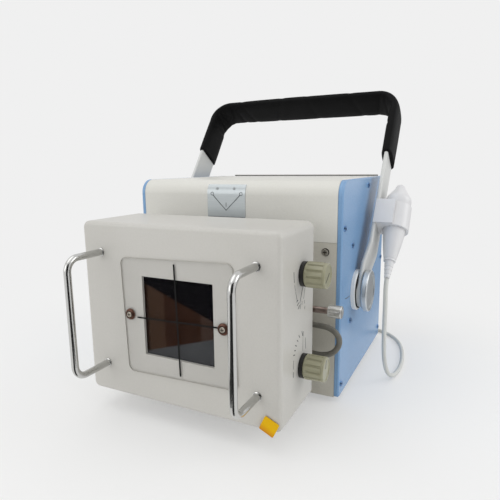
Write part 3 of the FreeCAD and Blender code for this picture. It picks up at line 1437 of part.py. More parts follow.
make_base()
make_feet()
make_side_panel(-1, "side_panel_left")
make_side_panel(1, "side_panel_right")
keep(group(make_side_frame(-1), make_side_frame(1)), "side_frames")
make_screws()
make_cover()
make_front_plate()
make_rear_panel()
make_keypad()
make_inlet()
make_rocker()
make_mark_plate()
make_tank()
make_tube()
make_electrics()
make_port()
make_swivel_ring()
make_lock_screw()
make_box_shell()
make_box_back()
make_window()
make_sheet_screws()
make_rod_handles()
for height, name in zip(knob_heights(), ("shutter_knob_lower", "shutter_knob_upper")):
    make_knob(height, name)
make_shutters()
make_lamp()
make_tape()
make_strap()
make_grip()
make_holder()
make_switch()
make_pivots()
make_cords()
doc.recompute()

for item in doc.Objects:
    if "Invalid" in item.State or "Error" in item.State:
        raise ValueError(f"{item.Label} failed: {item.State}")
for node, item in finished.items():
    if item.Shape.isNull() or not item.Shape.isValid() or not item.Shape.Solids:
        raise ValueError(f"{node} has no valid solid")

os.makedirs("parts", exist_ok=True)
for node, item in finished.items():
    item.Shape.exportStep(f"parts/{node}.step")
print(f"{len(finished)} sub-parts written")
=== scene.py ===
import math

import bmesh
import bpy
import numpy as np
from mathutils import Matrix, Vector


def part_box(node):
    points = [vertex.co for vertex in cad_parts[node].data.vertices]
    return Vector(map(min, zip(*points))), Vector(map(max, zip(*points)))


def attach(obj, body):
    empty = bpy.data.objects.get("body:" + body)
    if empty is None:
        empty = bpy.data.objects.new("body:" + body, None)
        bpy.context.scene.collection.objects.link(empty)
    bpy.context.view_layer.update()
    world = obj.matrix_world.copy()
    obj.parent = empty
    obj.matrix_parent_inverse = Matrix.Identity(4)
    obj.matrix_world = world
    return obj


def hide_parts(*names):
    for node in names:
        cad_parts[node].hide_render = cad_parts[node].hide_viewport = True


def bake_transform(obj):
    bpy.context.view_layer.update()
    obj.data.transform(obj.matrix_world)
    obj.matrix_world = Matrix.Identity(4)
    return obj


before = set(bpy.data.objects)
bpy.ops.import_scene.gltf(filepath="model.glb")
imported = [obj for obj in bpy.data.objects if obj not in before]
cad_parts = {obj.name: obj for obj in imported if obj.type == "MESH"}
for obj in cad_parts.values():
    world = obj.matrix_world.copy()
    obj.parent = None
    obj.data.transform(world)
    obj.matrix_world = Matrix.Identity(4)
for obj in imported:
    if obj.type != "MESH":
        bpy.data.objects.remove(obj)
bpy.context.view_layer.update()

# The camera stands off the unit's front right corner, a little above the collimator, and
# looks slightly down along its right side. The lens takes in 57 degrees each way.
turned, tipped, leaning = (math.radians(angle) for angle in (26.479, 10.312, -0.647))
ahead = Vector((-math.sin(turned) * math.cos(tipped), math.cos(turned) * math.cos(tipped),
                -math.sin(tipped)))
level = Vector((math.cos(turned), math.sin(turned), 0))
lifted = level.cross(ahead)
right = level * math.cos(leaning) + lifted * math.sin(leaning)
upward = lifted * math.cos(leaning) - level * math.sin(leaning)
lens = bpy.data.cameras.new("camera")
lens.lens, lens.sensor_width, lens.clip_start = 33.02, 36, 0.01
camera = bpy.data.objects.new("camera", lens)
camera.matrix_world = Matrix.Translation((0.2166, -0.4910, 0.2167)) @ Matrix(
    (right, upward, -ahead)).transposed().to_4x4()
bpy.context.collection.objects.link(camera)
bpy.context.scene.camera = camera
bpy.context.scene.view_settings.view_transform = "Standard"


# The floor is one wide pale sheet under the rubber feet. Near the unit it is matt and keeps
# the unit's soft shadow; further out it runs into a background of the same pale grey.
FLOOR_HEIGHT = -0.005


def colour(code):
    """Linear red, green, blue and alpha of an sRGB hex value."""
    parts = np.array([int(code[place:place + 2], 16) for place in (1, 3, 5)]) / 255
    linear = np.where(parts <= 0.04045, parts / 12.92, ((parts + 0.055) / 1.055) ** 2.4)
    return (*linear.tolist(), 1.0)


def add(tree, kind, inputs, to=None, **settings):
    """One node in a tree, with its settings, each input linked or given its value. Its
    first output that is shown goes to a socket where one is given, and is handed back."""
    node = tree.nodes.new(kind)
    for name, value in settings.items():
        setattr(node, name, value)
    for name, value in inputs.items():
        if isinstance(value, bpy.types.NodeSocket):
            tree.links.new(value, node.inputs[name])
        else:
            node.inputs[name].default_value = value
    shown = next(socket for socket in node.outputs if socket.enabled)
    if to is not None:
        tree.links.new(shown, to)
    return shown


def new_finish(name, **surface):
    """A material whose one shader has these inputs; gives its tree, shader and coordinates."""
    material = bpy.data.materials.new(name)
    material.use_nodes = True
    tree = material.node_tree
    shader = tree.nodes["Principled BSDF"]
    for key, value in surface.items():
        shader.inputs[key.replace("_", " ")].default_value = value
    place = tree.nodes.new("ShaderNodeTexCoord").outputs["Object"]
    return material, tree, shader, place


def build(name, points, faces, material, body, smooth=40):
    """A closed mesh piece from points and faces, doubles merged and faces turned outwards."""
    mesh = bpy.data.meshes.new(name)
    mesh.from_pydata(np.asarray(points, float).reshape(-1, 3).tolist(), [], faces)
    work = bmesh.new()
    work.from_mesh(mesh)
    bmesh.ops.remove_doubles(work, verts=work.verts, dist=1e-7)
    bmesh.ops.recalc_face_normals(work, faces=work.faces)
    work.to_mesh(mesh)
    work.free()
    mesh.shade_smooth()
    mesh.set_sharp_from_angle(angle=math.radians(smooth))
    piece = bpy.data.objects.new(name, mesh)
    piece.data.materials.append(material)
    bpy.context.collection.objects.link(piece)
    if body:
        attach(piece, body)
    return piece


def grid_faces(rows, columns, round_rows=False, round_columns=True, ends=True):
    """Quads between neighbouring points of a grid, joined round where it closes on itself."""
    number = np.arange(rows * columns).reshape(rows, columns)
    if round_columns:
        number = np.hstack([number, number[:, :1]])
    if round_rows:
        number = np.vstack([number, number[:1]])
    quads = np.stack([number[:-1, :-1], number[:-1, 1:], number[1:, 1:], number[1:, :-1]],
                     axis=-1).reshape(-1, 4).tolist()
    if ends:
        quads += [number[0, :columns][::-1].tolist(), number[-1, :columns].tolist()]
    return quads


def showing(tree):
    """One for the rays that show the background: from the camera, or off metal and glass."""
    rays = tree.nodes.new("ShaderNodeLightPath").outputs
    seen = add(tree, "ShaderNodeMath", {0: rays["Is Camera Ray"], 1: rays["Is Glossy Ray"]},
               operation="MAXIMUM")
    return add(tree, "ShaderNodeMath", {0: seen, 1: rays["Is Transmission Ray"]},
               operation="MAXIMUM")


floor_paper, tree, shader, place = new_finish(
    "matt_floor_sheet", Base_Color=colour("#F3F3F2"), Roughness=0.95,
    Specular_IOR_Level=0.1)
reach = add(tree, "ShaderNodeVectorMath", {0: place}, operation="LENGTH")
far = add(tree, "ShaderNodeMapRange", {"Value": reach, "From Min": 0.22, "From Max": 0.6,
                                       "To Min": 0.4}, interpolation_type="SMOOTHSTEP")
share = add(tree, "ShaderNodeMath", {0: showing(tree), 1: far}, operation="MULTIPLY")
glow = add(tree, "ShaderNodeEmission", {"Color": colour("#F0F0F0"), "Strength": 1.0})
mixed = add(tree, "ShaderNodeMixShader", {0: share, 1: shader.outputs[0], 2: glow})
tree.links.new(mixed, tree.nodes["Material Output"].inputs["Surface"])
spread = np.array([0.0, 0.4, 0.8, 1.6, 3.2, 6.4, 12.8])[:, None]
round_it = np.linspace(0, 2 * np.pi, 64, endpoint=False)[None, :]
floor_sheet = build("floor_sheet", np.stack(
    [spread * np.cos(round_it), spread * np.sin(round_it),
     np.full((7, 64), FLOOR_HEIGHT)], axis=-1),
    grid_faces(7, 64, ends=False), floor_paper, None)

sky = bpy.data.worlds.new("pale_room")
sky.use_nodes = True
bpy.context.scene.world = sky
tree = sky.node_tree
soft = add(tree, "ShaderNodeBackground", {"Color": (1.0, 1.0, 1.0, 1.0), "Strength": 0.8})
shown = add(tree, "ShaderNodeBackground", {"Color": colour("#F0F0F0"), "Strength": 1.0})
mixed = add(tree, "ShaderNodeMixShader", {0: showing(tree), 1: soft, 2: shown})
tree.links.new(mixed, tree.nodes["World Output"].inputs["Surface"])

# One wide soft light hangs above, a second stands before the unit on the left and a third
# behind it on the right, whose light passes under the raised handle. Dark and grey cards that
# only reflections see give polished metal and gloss paint the darker side of a real room.
for name, spot, aim, width, power in (
        ("overhead_light", (-0.35, -0.45, 1.5), (0, -0.05, 0.1), 1.4, 4.4),
        ("front_light", (-0.9, -1.6, 0.7), (0, -0.1, 0.1), 1.1, 4.0),
        ("side_light", (1.5, 0.45, 0.9), (0.1, 0, 0.1), 0.8, 5.0)):
    lamp = bpy.data.lights.new(name, "AREA")
    lamp.shape, lamp.size, lamp.energy = "DISK", width, power
    light = bpy.data.objects.new(name, lamp)
    light.location = spot
    light.rotation_mode = "QUATERNION"
    light.rotation_quaternion = (Vector(aim) - Vector(spot)).to_track_quat("-Z", "Y")
    light.visible_camera = False
    bpy.context.collection.objects.link(light)

dark_card, tree, shader, place = new_finish("black_card", Base_Color=colour("#0A0A0A"),
                                            Roughness=0.9)
middle, across, tall = np.array([0.70, -1.10, 0.5]), np.array([0.55, 0.38, 0]), 0.75
card = build("studio_card", [middle - across - [0, 0, tall], middle + across - [0, 0, tall],
                             middle + across + [0, 0, tall], middle - across + [0, 0, tall]],
             [[0, 1, 2, 3]], dark_card, None)
cards = [card]
for x in (-0.075, 0.075):
    left_way, right_way = np.radians(4), np.radians(50)
    corner = np.array([x, -0.245, -0.0045])
    cards.append(build("studio_floor_card", [
        corner - [0.012, 0, 0], corner + [0.012, 0, 0],
        corner + 1.5 * np.array([math.sin(right_way), -math.cos(right_way), 0]),
        corner + 1.5 * np.array([math.sin(left_way), -math.cos(left_way), 0])],
        [[0, 1, 2, 3]], dark_card, None))
grey_card, tree, shader, place = new_finish("grey_card", Base_Color=colour("#8A8A8A"),
                                            Roughness=0.9)
cards.append(build("studio_side_card", [(0.14, 0.1, -0.0045), (0.9, 0.1, -0.0045),
                                        (0.9, 2.0, -0.0045), (0.14, 2.0, -0.0045)],
                   [[0, 1, 2, 3]], grey_card, None))
for card in cards:
    card.visible_camera = card.visible_diffuse = card.visible_shadow = False
    card.visible_transmission = False


# The hand switch hangs on a round white flexible cord, a soft plastic jacket over fine
# copper strands. It drops to the floor, runs behind the housing, lies there in a tied coil
# of the length that isn't needed, and rises to its plug.
CORD_ACROSS = 0.0044
HANG_ROUTE = ((140, -31.6, 104.6), (140.2, -37.4, 96.2), (141.4, -41.4, 82),
              (141.4, -41.4, 60))
FLOOR_ROUTE = ((141.4, -41.4, 60), (141.4, -41.4, 40), (142.4, -39, 19), (145.6, -32.4, 3.4),
               (149.4, -18, -2.4), (152.4, 8, -2.7), (149.8, 40, -2.7), (143.2, 72, -2.7),
               (129.2, 100, -2.7), (105, 116.6, -2.7), (76, 119.4, -2.4), (46, 119.8, -1))
TAIL_ROUTE = ((-1, 161.3, 8), (6.5, 182, 4), (20, 203, -1.8), (44, 212, -0.6), (64, 203, 8),
              (71, 184, 20), (67, 163, 31), (60, 146, 37), (58, 131, 38))
COIL_MIDDLE, COIL_CENTRE, TURN_PITCH, POINTS_A_TURN = 25.5, (30, 150), 4.5, 18


def soft_line(route, fineness=10):
    """Points along the smooth line that a route's points steer, as Blender samples it."""
    curve = bpy.data.curves.new("line", "CURVE")
    curve.dimensions = "3D"
    spline = curve.splines.new("NURBS")
    spline.points.add(len(route) - 1)
    steer = np.ones((len(route), 4))
    steer[:, :3] = np.asarray(route) * 0.001
    spline.points.foreach_set("co", steer.ravel())
    spline.order_u = 3
    spline.use_endpoint_u = True
    spline.resolution_u = fineness
    holder = bpy.data.objects.new("line", curve)
    sampled = bpy.data.meshes.new_from_object(holder)
    line = np.empty(len(sampled.vertices) * 3)
    sampled.vertices.foreach_get("co", line)
    bpy.data.objects.remove(holder)
    bpy.data.meshes.remove(sampled)
    return line.reshape(-1, 3)


def ring_frames(line):
    """Two directions square to a line at each point, carried along it without twist."""
    ways = np.gradient(line, axis=0)
    ways /= np.linalg.norm(ways, axis=1)[:, None]
    side = np.cross(ways[0], [0.0, 0.3, 1.0] if abs(ways[0][2]) < 0.9 else [1.0, 0.0, 0.0])
    sides = np.empty_like(line)
    for number, way in enumerate(ways):
        side = side - way * (side @ way)
        side /= np.linalg.norm(side)
        sides[number] = side
    return sides, np.cross(ways, sides)


def tube_grid(line, radius, sides=12):
    """Rings round a line: each is the point plus radius times cosine and sine of the angle."""
    first, second = ring_frames(line)
    angle = np.linspace(0, 2 * np.pi, sides, endpoint=False)[None, :, None]
    radius = np.broadcast_to(radius, len(line))[:, None, None]
    return line[:, None, :] + radius * (first[:, None, :] * np.cos(angle)
                                        + second[:, None, :] * np.sin(angle))


def wound_turns(turns, rows=(5, 4, 4, 4)):
    """Steering points of the coil, clockwise: in each layer the cord lies one pitch beside its
    last turn, and a step to the next place comes every nine tenths of a turn."""
    places = []
    for layer, count in enumerate(rows):
        beside = (np.arange(count) - (count - 1) / 2) * TURN_PITCH
        beside = beside if layer % 2 else beside[::-1]
        places += [(one, -2.2 + TURN_PITCH * layer) for one in beside]
    places = np.array(places + [places[-1]] * 2)
    sweep = np.arange(1, int(turns * POINTS_A_TURN)) / POINTS_A_TURN
    which = np.minimum(sweep / 0.9, len(places) - 1.001)
    step = np.clip((which % 1 - 0.8) / 0.2, 0, 1)
    step = (step * step * (3 - 2 * step))[:, None]
    lying = places[which.astype(int)] * (1 - step) + places[which.astype(int) + 1] * step
    radius = (COIL_MIDDLE + lying[:, 0]) / math.cos(math.pi / POINTS_A_TURN)
    angle = -math.pi / 2 - 2 * math.pi * sweep
    return np.stack([COIL_CENTRE[0] + radius * np.cos(angle),
                     COIL_CENTRE[1] + radius * np.sin(angle), lying[:, 1]], axis=1)


def paint(tree, shader, ground, *coats):
    """Colour a surface: the ground tone or pattern, then each coat where its mask is one."""
    tone = ground
    if isinstance(ground, str):
        tone = shader.inputs["Base Color"].default_value = colour(ground)
    for mask, code in coats:
        tone = add(tree, "ShaderNodeMix", {0: mask, 6: tone, 7: colour(code)},
                   data_type="RGBA")
    tree.links.new(tone, shader.inputs["Base Color"])


def mottled(name, one, other, patch, detail, grain=None, **surface):
    """A finish that drifts between two tones in soft patches, with a finer relief where it
    has one: noise scale, noise detail, strength and depth in metres."""
    material, tree, shader, place = new_finish(name, **surface)
    patches = add(tree, "ShaderNodeTexNoise", {"Vector": place, "Scale": patch,
                                               "Detail": detail})
    paint(tree, shader, one, (patches, other))
    if grain:
        fine = add(tree, "ShaderNodeTexNoise", {"Vector": place, "Scale": grain[0],
                                                "Detail": grain[1]})
        add(tree, "ShaderNodeBump", {"Height": fine, "Strength": grain[2],
                                     "Distance": grain[3]}, shader.inputs["Normal"])
    return material


# Soft PVC jacket, extruded: an even satin white with the faint unevenness of the strands.
cord_jacket = mottled("white_pvc_jacket", "#DCDDD9", "#C9CAC5", 35.0, 4.0,
                      (260.0, 3.0, 0.12, 0.0005), Roughness=0.48, IOR=1.5)
upper_line = soft_line(HANG_ROUTE, 12)
rings = tube_grid(upper_line, CORD_ACROSS / 2, 16)
switch_cord_upper = build("switch_cord_upper", rings, grid_faces(*rings.shape[:2]),
                          cord_jacket, None)
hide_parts("switch_cord_hang")
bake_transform(switch_cord_upper)

main_line = soft_line(np.vstack([FLOOR_ROUTE, wound_turns(15.306), TAIL_ROUTE]), 6)
rings = tube_grid(main_line, CORD_ACROSS / 2, 10)
switch_cord = build("switch_cord", rings, grid_faces(*rings.shape[:2]), cord_jacket, None)
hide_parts("switch_cord_floor", "switch_cord_coil", "switch_cord_tail")
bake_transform(switch_cord)

# A black hook-and-loop strap ties the coil: a woven band once round the bundle.
band_weave, tree, shader, place = new_finish(
    "hook_and_loop_band", Base_Color=colour("#1B1B1C"), Roughness=0.95, IOR=1.5)
loops = add(tree, "ShaderNodeTexVoronoi", {"Vector": place, "Scale": 1400.0})
add(tree, "ShaderNodeBump", {"Height": loops, "Strength": 0.5, "Distance": 0.0004},
    shader.inputs["Normal"])
tie_turn, tie_corner = math.radians(60), 3.0
sweep = np.linspace(0, 2 * np.pi, 64, endpoint=False)
low, high, half = -4.7, 13.75, 11.5
stretch_side, stretch_up = half - tie_corner, (high - low) / 2 - tie_corner
loop = np.stack([np.sign(np.cos(sweep)) * stretch_side + tie_corner * np.cos(sweep),
                 (low + high) / 2 + np.sign(np.sin(sweep)) * stretch_up
                 + tie_corner * np.sin(sweep)], axis=1)
outward = np.stack([np.cos(sweep), np.sin(sweep)], axis=1)
corners = np.stack([loop - 0.3 * outward, loop - 0.3 * outward, loop + 0.3 * outward,
                    loop + 0.3 * outward], axis=1)
along = np.array([-4.5, 4.5, 4.5, -4.5])[None, :]
radius = COIL_MIDDLE + corners[..., 0]
tie_points = np.stack([
    COIL_CENTRE[0] + radius * math.cos(tie_turn) - along * math.sin(tie_turn),
    COIL_CENTRE[1] + radius * math.sin(tie_turn) + along * math.cos(tie_turn),
    corners[..., 1]], axis=-1) * 0.001
coil_tie = build("coil_tie", tie_points, grid_faces(64, 4, round_rows=True, ends=False),
                 band_weave, "housing")

# The field lamp's grey-brown cable leaves the collimator's back, loops down beside the port
# and enters the front plate: a soft sheath with slack for the collimator's swivel.
LAMP_ROUTE = ((68, -131, 73.5), (68.2, -113, 73.7), (78, -109, 74.8), (92, -109, 74.6),
              (106.2, -109.6, 74.2), (114.6, -110.4, 67.4), (114.8, -110.8, 58.4),
              (108, -110, 49.6), (96.6, -108.8, 46.2), (84.6, -107.6, 46.8),
              (75, -106, 49), (74, -90, 50))
cable_sheath = mottled("grey_rubber_sheath", "#7A786F", "#5C5B54", 180.0, 4.0,
                       Roughness=0.55, IOR=1.5)
lamp_line = soft_line(LAMP_ROUTE, 12)
rings = tube_grid(lamp_line, 0.0026, 20)
lamp_cable = build("lamp_cable_sheath", rings, grid_faces(*rings.shape[:2]), cable_sheath,
                   None)
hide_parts("lamp_cable")
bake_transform(lamp_cable)


# The housing stands on a milled aluminium plate with four moulded rubber feet, and thin
# steel frames carry its side panels.
def dress(material, *nodes):
    """Give carried-over solids their finish."""
    for node in nodes:
        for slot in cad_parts[node].material_slots:
            slot.material = material


# Milled aluminium: soft grey with long faint cutter lines.
milled, tree, shader, place = new_finish(
    "milled_aluminium", Base_Color=colour("#B9BBBC"), Metallic=1.0, Roughness=0.38)
stretched = add(tree, "ShaderNodeMapping", {"Vector": place, "Scale": (40.0, 900.0, 900.0)})
lines = add(tree, "ShaderNodeTexNoise", {"Vector": stretched, "Scale": 1.0, "Detail": 3.0})
add(tree, "ShaderNodeBump", {"Height": lines, "Strength": 0.15, "Distance": 0.0003},
    shader.inputs["Normal"])
add(tree, "ShaderNodeMapRange", {"Value": lines, "To Min": 0.3, "To Max": 0.46},
    shader.inputs["Roughness"])
dress(milled, "base_plate", "leaf_guide", "heat_sink", "field_lamp")

# Moulded black rubber: matt, a little greyed, with a fine grain.
rubber = mottled("moulded_black_rubber", "#171717", "#2B2B2A", 70.0, 4.0,
                 (1500.0, 2.0, 0.3, 0.0003), Roughness=0.78, IOR=1.5)
dress(rubber, "rubber_feet", "friction_washers")

# Zinc-plated sheet steel: cool grey with soft cloudy spangle.
zinc, tree, shader, place = new_finish("zinc_plated_steel", Metallic=1.0, Roughness=0.4)
spangle = add(tree, "ShaderNodeTexVoronoi", {"Vector": place, "Scale": 160.0})
paint(tree, shader, "#9EA1A2", (spangle.node.outputs["Color"], "#B4B7B8"))
dress(zinc, "side_frames", "tank_lid", "pivot_bolts", "switch_socket")


# The top cover, front plate and rear panel are bent sheet steel with a baked powder coat,
# warm cream, and the two side panels are thick aluminium plates painted light blue.
def powder_coat(name, code, deeper, roughness, fleck=0.5):
    """Baked powder paint: even and satin, a shade deeper in soft patches, with a fine
    orange-peel surface of about 1.2 mm."""
    material, tree, shader, place = new_finish(name, Roughness=roughness, IOR=1.5)
    patches = add(tree, "ShaderNodeTexNoise", {"Vector": place, "Scale": 14.0, "Detail": 3.0})
    specks = add(tree, "ShaderNodeTexNoise", {"Vector": place, "Scale": 700.0, "Detail": 2.0})
    both = add(tree, "ShaderNodeMix", {0: fleck, 2: patches, 3: specks})
    spread = add(tree, "ShaderNodeMapRange", {"Value": both, "From Min": 0.3, "From Max": 0.7})
    paint(tree, shader, code, (spread, deeper))
    peel = add(tree, "ShaderNodeTexNoise", {"Vector": place, "Scale": 820.0, "Detail": 2.0})
    add(tree, "ShaderNodeBump", {"Height": peel, "Strength": 0.10, "Distance": 0.0004},
        shader.inputs["Normal"])
    return material


cream_coat = powder_coat("cream_powder_coat", "#DAD9D3", "#D4D3CC", 0.42)
# The front plate's coat is a darker, greyer copy of the cream: painted shade.
front_coat_painted_shade = powder_coat("cream_coat_painted_shade_front", "#C6C3B9", "#BEBBB0", 0.45)
blue_coat = powder_coat("light_blue_paint", "#7DA2CA", "#739AC3", 0.27, 0.7)
dress(cream_coat, "top_cover", "rear_panel")
dress(front_coat_painted_shade, "front_plate")
dress(blue_coat, "side_panel_left", "side_panel_right")


def handled(name, patch, detail, low, high, **surface):
    """A smooth finish whose gloss changes in patches between two values of roughness."""
    material, tree, shader, place = new_finish(name, **surface)
    patches = add(tree, "ShaderNodeTexNoise", {"Vector": place, "Scale": patch,
                                               "Detail": detail})
    add(tree, "ShaderNodeMapRange", {"Value": patches, "To Min": low, "To Max": high},
        shader.inputs["Roughness"])
    return material, tree, shader, place


# Button-head and pan-head screws, turned from steel and nickel plated. Those of the side
# panels are painted over with the panel, and a thin band of depth that takes their cross
# recesses is painted dark as painted shade.
nickel, tree, shader, place = handled("nickel_plated_steel", 900.0, 4.0, 0.2, 0.42,
                                      Metallic=1.0, Roughness=0.28)
axes = add(tree, "ShaderNodeSeparateXYZ", {0: place}).node.outputs
outer = add(tree, "ShaderNodeMath", {0: axes["X"]}, operation="ABSOLUTE")
outer = add(tree, "ShaderNodeMath", {0: outer, 1: 0.1108}, operation="GREATER_THAN")
# The dark band of depth at the cross recesses is painted shade.
depth = add(tree, "ShaderNodeMath", {0: axes["Y"]}, operation="ABSOLUTE")
deep = add(tree, "ShaderNodeMath", {0: depth, 1: 0.09555, 2: 0.00062}, operation="COMPARE")
paint(tree, shader, "#B5B2AB", (outer, "#6A8DBB"), (deep, "#24221F"))
dress(nickel, "housing_screws", "collimator_back_screws", "inlet_pins")


# The alignment plate is thin satin aluminium glued over the cover's front bend. Printed on
# it are a wide V, two ring marks at its upper ends and two dots on the bend.
satin, tree, shader, place = new_finish("satin_anodised_aluminium", Metallic=0.35,
                                        Roughness=0.26)
brushed = add(tree, "ShaderNodeMapping", {"Vector": place, "Scale": (30.0, 1500.0, 1500.0)})
lines = add(tree, "ShaderNodeTexNoise", {"Vector": brushed, "Scale": 1.0, "Detail": 2.0})
paint(tree, shader, "#C1C7C9", (lines, "#B2B9BC"))

# Screen-printing ink: matt, thin, a little uneven in its cover.
print_ink = mottled("dark_printing_ink", "#34373A", "#4A4D50", 1200.0, 2.0, Roughness=0.7)


def on_cover_bend(across, rise, lift):
    """A point on the alignment plate: rise runs up the flat front and on round the bend."""
    radius, flat_top = 14.52, 190.0
    turn = np.clip((rise - flat_top) / radius, 0, None)
    below = np.minimum(rise, flat_top)
    reach = radius + lift
    return np.stack([across, -81.0 - reach * np.cos(turn), below + reach * np.sin(turn)],
                    axis=-1) * 0.001


def printed_line(name, line, width, surface, material, body, thick=0.07, closed=False):
    """A printed line as a thin closed strip: its middle line moved half its width to each
    side, mitred at its corners, and lifted off the surface that it lies on."""
    line = np.asarray(line, float)
    steps = np.diff(line, axis=0)
    ways = steps / np.linalg.norm(steps, axis=1)[:, None]
    before, after = np.vstack([ways[:1], ways]), np.vstack([ways, ways[-1:]])
    if closed:
        before[0], after[-1] = ways[-1], ways[0]
    bisect = before + after
    bisect /= np.linalg.norm(bisect, axis=1)[:, None]
    aside = np.stack([-bisect[:, 1], bisect[:, 0]], axis=1)
    aside *= (width / 2 / np.sum(bisect * before, axis=1))[:, None]
    edges = [surface(*(line + side * aside).T, lift)
             for side, lift in ((-1, -0.02), (1, -0.02), (1, thick), (-1, thick))]
    points = np.stack(edges, axis=1)
    if closed:
        faces = grid_faces(len(line) - 1, 4, round_rows=True, ends=False)
        points = points[:-1]
    else:
        faces = grid_faces(len(line), 4)
    build(name, points, faces, material, body, smooth=20)


def ring_line(centre, radius):
    """Points round a circle, the first one again at the end."""
    angle = np.linspace(0, 2 * np.pi, 25)
    return np.stack([centre[0] + radius * np.cos(angle),
                     centre[1] + radius * np.sin(angle)], axis=1)


plate_low, plate_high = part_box("alignment_plate")
climb = np.linspace(plate_low.z * 1000, 200.6, 40)
wide = (plate_low.x * 1000, plate_high.x * 1000)
rings = np.stack([on_cover_bend(np.full_like(climb, x), climb, lift) for x, lift in (
    (wide[0], -0.48), (wide[1], -0.48), (wide[1], 0.0), (wide[0], 0.0))], axis=1)
plate = build("alignment_label", rings, grid_faces(40, 4), satin, "housing", smooth=30)
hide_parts("alignment_plate")
valley = np.vstack([np.linspace((-21, 189.2), (-6.3, 174.4), 9),
                    np.linspace((-6.3, 174.4), (9.6, 189.6), 9)[1:]])
printed_line("plate_line_valley", valley, 0.7, on_cover_bend, print_ink, "housing")
printed_line("plate_line_tick", np.linspace((-6.2, 182), (-6.2, 178), 3), 0.6, on_cover_bend,
             print_ink, "housing")
for name, x in (("left", -21.8), ("right", 10.4)):
    printed_line(f"plate_ring_{name}", ring_line((x, 190.6), 1.5), 0.5, on_cover_bend,
                 print_ink, "housing", closed=True)
pale_ink = mottled("pale_grey_printing_ink", "#878B8D", "#999D9F", 1200.0, 2.0,
                   Roughness=0.7)
for name, x in (("left", -16.3), ("right", 2.6)):
    printed_line(f"plate_dot_{name}", ring_line((x, 195.8), 0.75), 1.4, on_cover_bend,
                 pale_ink, "housing", closed=True)
printed_line("plate_line_foot", np.linspace((-26.8, 167.8), (14.4, 167.8), 3), 0.6,
             on_cover_bend, print_ink, "housing")


# The rear panel's folded lip stands a little above the cover's rear edge, on a thin black
# strip that is painted shade: it gives the dark line of shade along that edge.
rear_shade_strip_finish = mottled("black_strip_painted_shade", "#232322", "#333332", 1500.0, 2.0, Roughness=0.85)
for name, near, far, top, finish in (("rear_edge_shade_strip", 93.4, 94.3, 204.8, rear_shade_strip_finish),
                                     ("rear_panel_lip", 94.3, 95.2, 205.5, cream_coat)):
    ends = [[(x, near, 203.8), (x, far, 203.8), (x, far, top), (x, near, top)]
            for x in (-97.0, 103.0)]
    build(name, np.array(ends) * 0.001, grid_faces(2, 4), finish, "housing")


# At the back, a membrane keypad with domed keys and a smoked display window is glued to the
# rear panel, and the mains inlet, its rocker and the cord's socket sit below it.
KEY_PITCH = 0.026
overlay, tree, shader, place = new_finish("textured_polyester_overlay", Roughness=0.45,
                                          IOR=1.6)
axes = add(tree, "ShaderNodeSeparateXYZ", {0: place}).node.outputs
shifted = add(tree, "ShaderNodeMath", {0: axes["X"], 1: KEY_PITCH / 2}, operation="ADD")
cell = add(tree, "ShaderNodeMath", {0: shifted, 1: KEY_PITCH, 2: 0.0}, operation="WRAP")
apart = add(tree, "ShaderNodeMath", {0: axes["Z"], 1: 0.089}, operation="SUBTRACT")
apart = add(tree, "ShaderNodeMath", {0: apart}, operation="ABSOLUTE")
masks = []
for bounds in (((cell, KEY_PITCH / 2, 0.009), (apart, 0.009, 0.006),
                (axes["X"], 0.0, 0.0615)),
               ((axes["X"], 0.0, 0.033), (axes["Z"], 0.121, 0.009))):
    inside = 1.0
    for value, centre, half in bounds:
        off = add(tree, "ShaderNodeMath", {0: value, 1: centre}, operation="SUBTRACT")
        off = add(tree, "ShaderNodeMath", {0: off}, operation="ABSOLUTE")
        there = add(tree, "ShaderNodeMath", {0: off, 1: half}, operation="LESS_THAN")
        inside = add(tree, "ShaderNodeMath", {0: inside, 1: there}, operation="MULTIPLY")
    masks.append(inside)
paint(tree, shader, "#D6D9DB", (masks[0], "#8AA6C8"), (masks[1], "#1C2220"))
grain = add(tree, "ShaderNodeTexNoise", {"Vector": place, "Scale": 1300.0, "Detail": 1.0})
add(tree, "ShaderNodeBump", {"Height": grain, "Strength": 0.15, "Distance": 0.0002},
    shader.inputs["Normal"])
add(tree, "ShaderNodeMapRange", {"Value": masks[1], "To Min": 0.5, "To Max": 0.12},
    shader.inputs["Roughness"])
dress(overlay, "keypad_overlay")

# Glass-filled nylon and ABS mouldings in black: satin, with a fine spark-eroded grain.
black_nylon = mottled("black_moulded_nylon", "#1B1C1E", "#26272A", 1700.0, 2.0,
                      (1700.0, 2.0, 0.25, 0.0002), Roughness=0.5, IOR=1.53)
dress(black_nylon, "mains_inlet", "mains_rocker", "switch_plug")


def facing_right(x, middle=0.0):
    """An upright face at x for printed lines, their places across counted from a middle."""
    return lambda across, rise, lift: np.stack(
        [np.full_like(across, x + lift), middle + across, rise], axis=-1) * 0.001


printed_line("tilt_index_line", [(-80.4, 93.8), (-75, 92.8), (-69, 92.3), (-62.5, 92.0)], 0.7,
             facing_right(111.0), print_ink, "housing")


# Inside the housing: the oil tank, cast and painted grey, its glass tube with copper anode,
# the laminated transformer with a taped winding, and the green boards with their parts.
cast_paint = powder_coat("grey_casting_paint", "#8C9093", "#7F8386", 0.55, 0.8)
dress(cast_paint, "tank_body")

tube_glass = handled(
    "borosilicate_glass", 90.0, 2.0, 0.02, 0.09, Base_Color=colour("#E6EFEA"),
    Roughness=0.04, IOR=1.47, Transmission_Weight=0.92)[0]
dress(tube_glass, "xray_tube_glass")

anode = mottled("machined_copper", "#C08560", "#8F5C43", 120.0, 3.0, Metallic=1.0,
                Roughness=0.3)
dress(anode, "tube_electrodes")

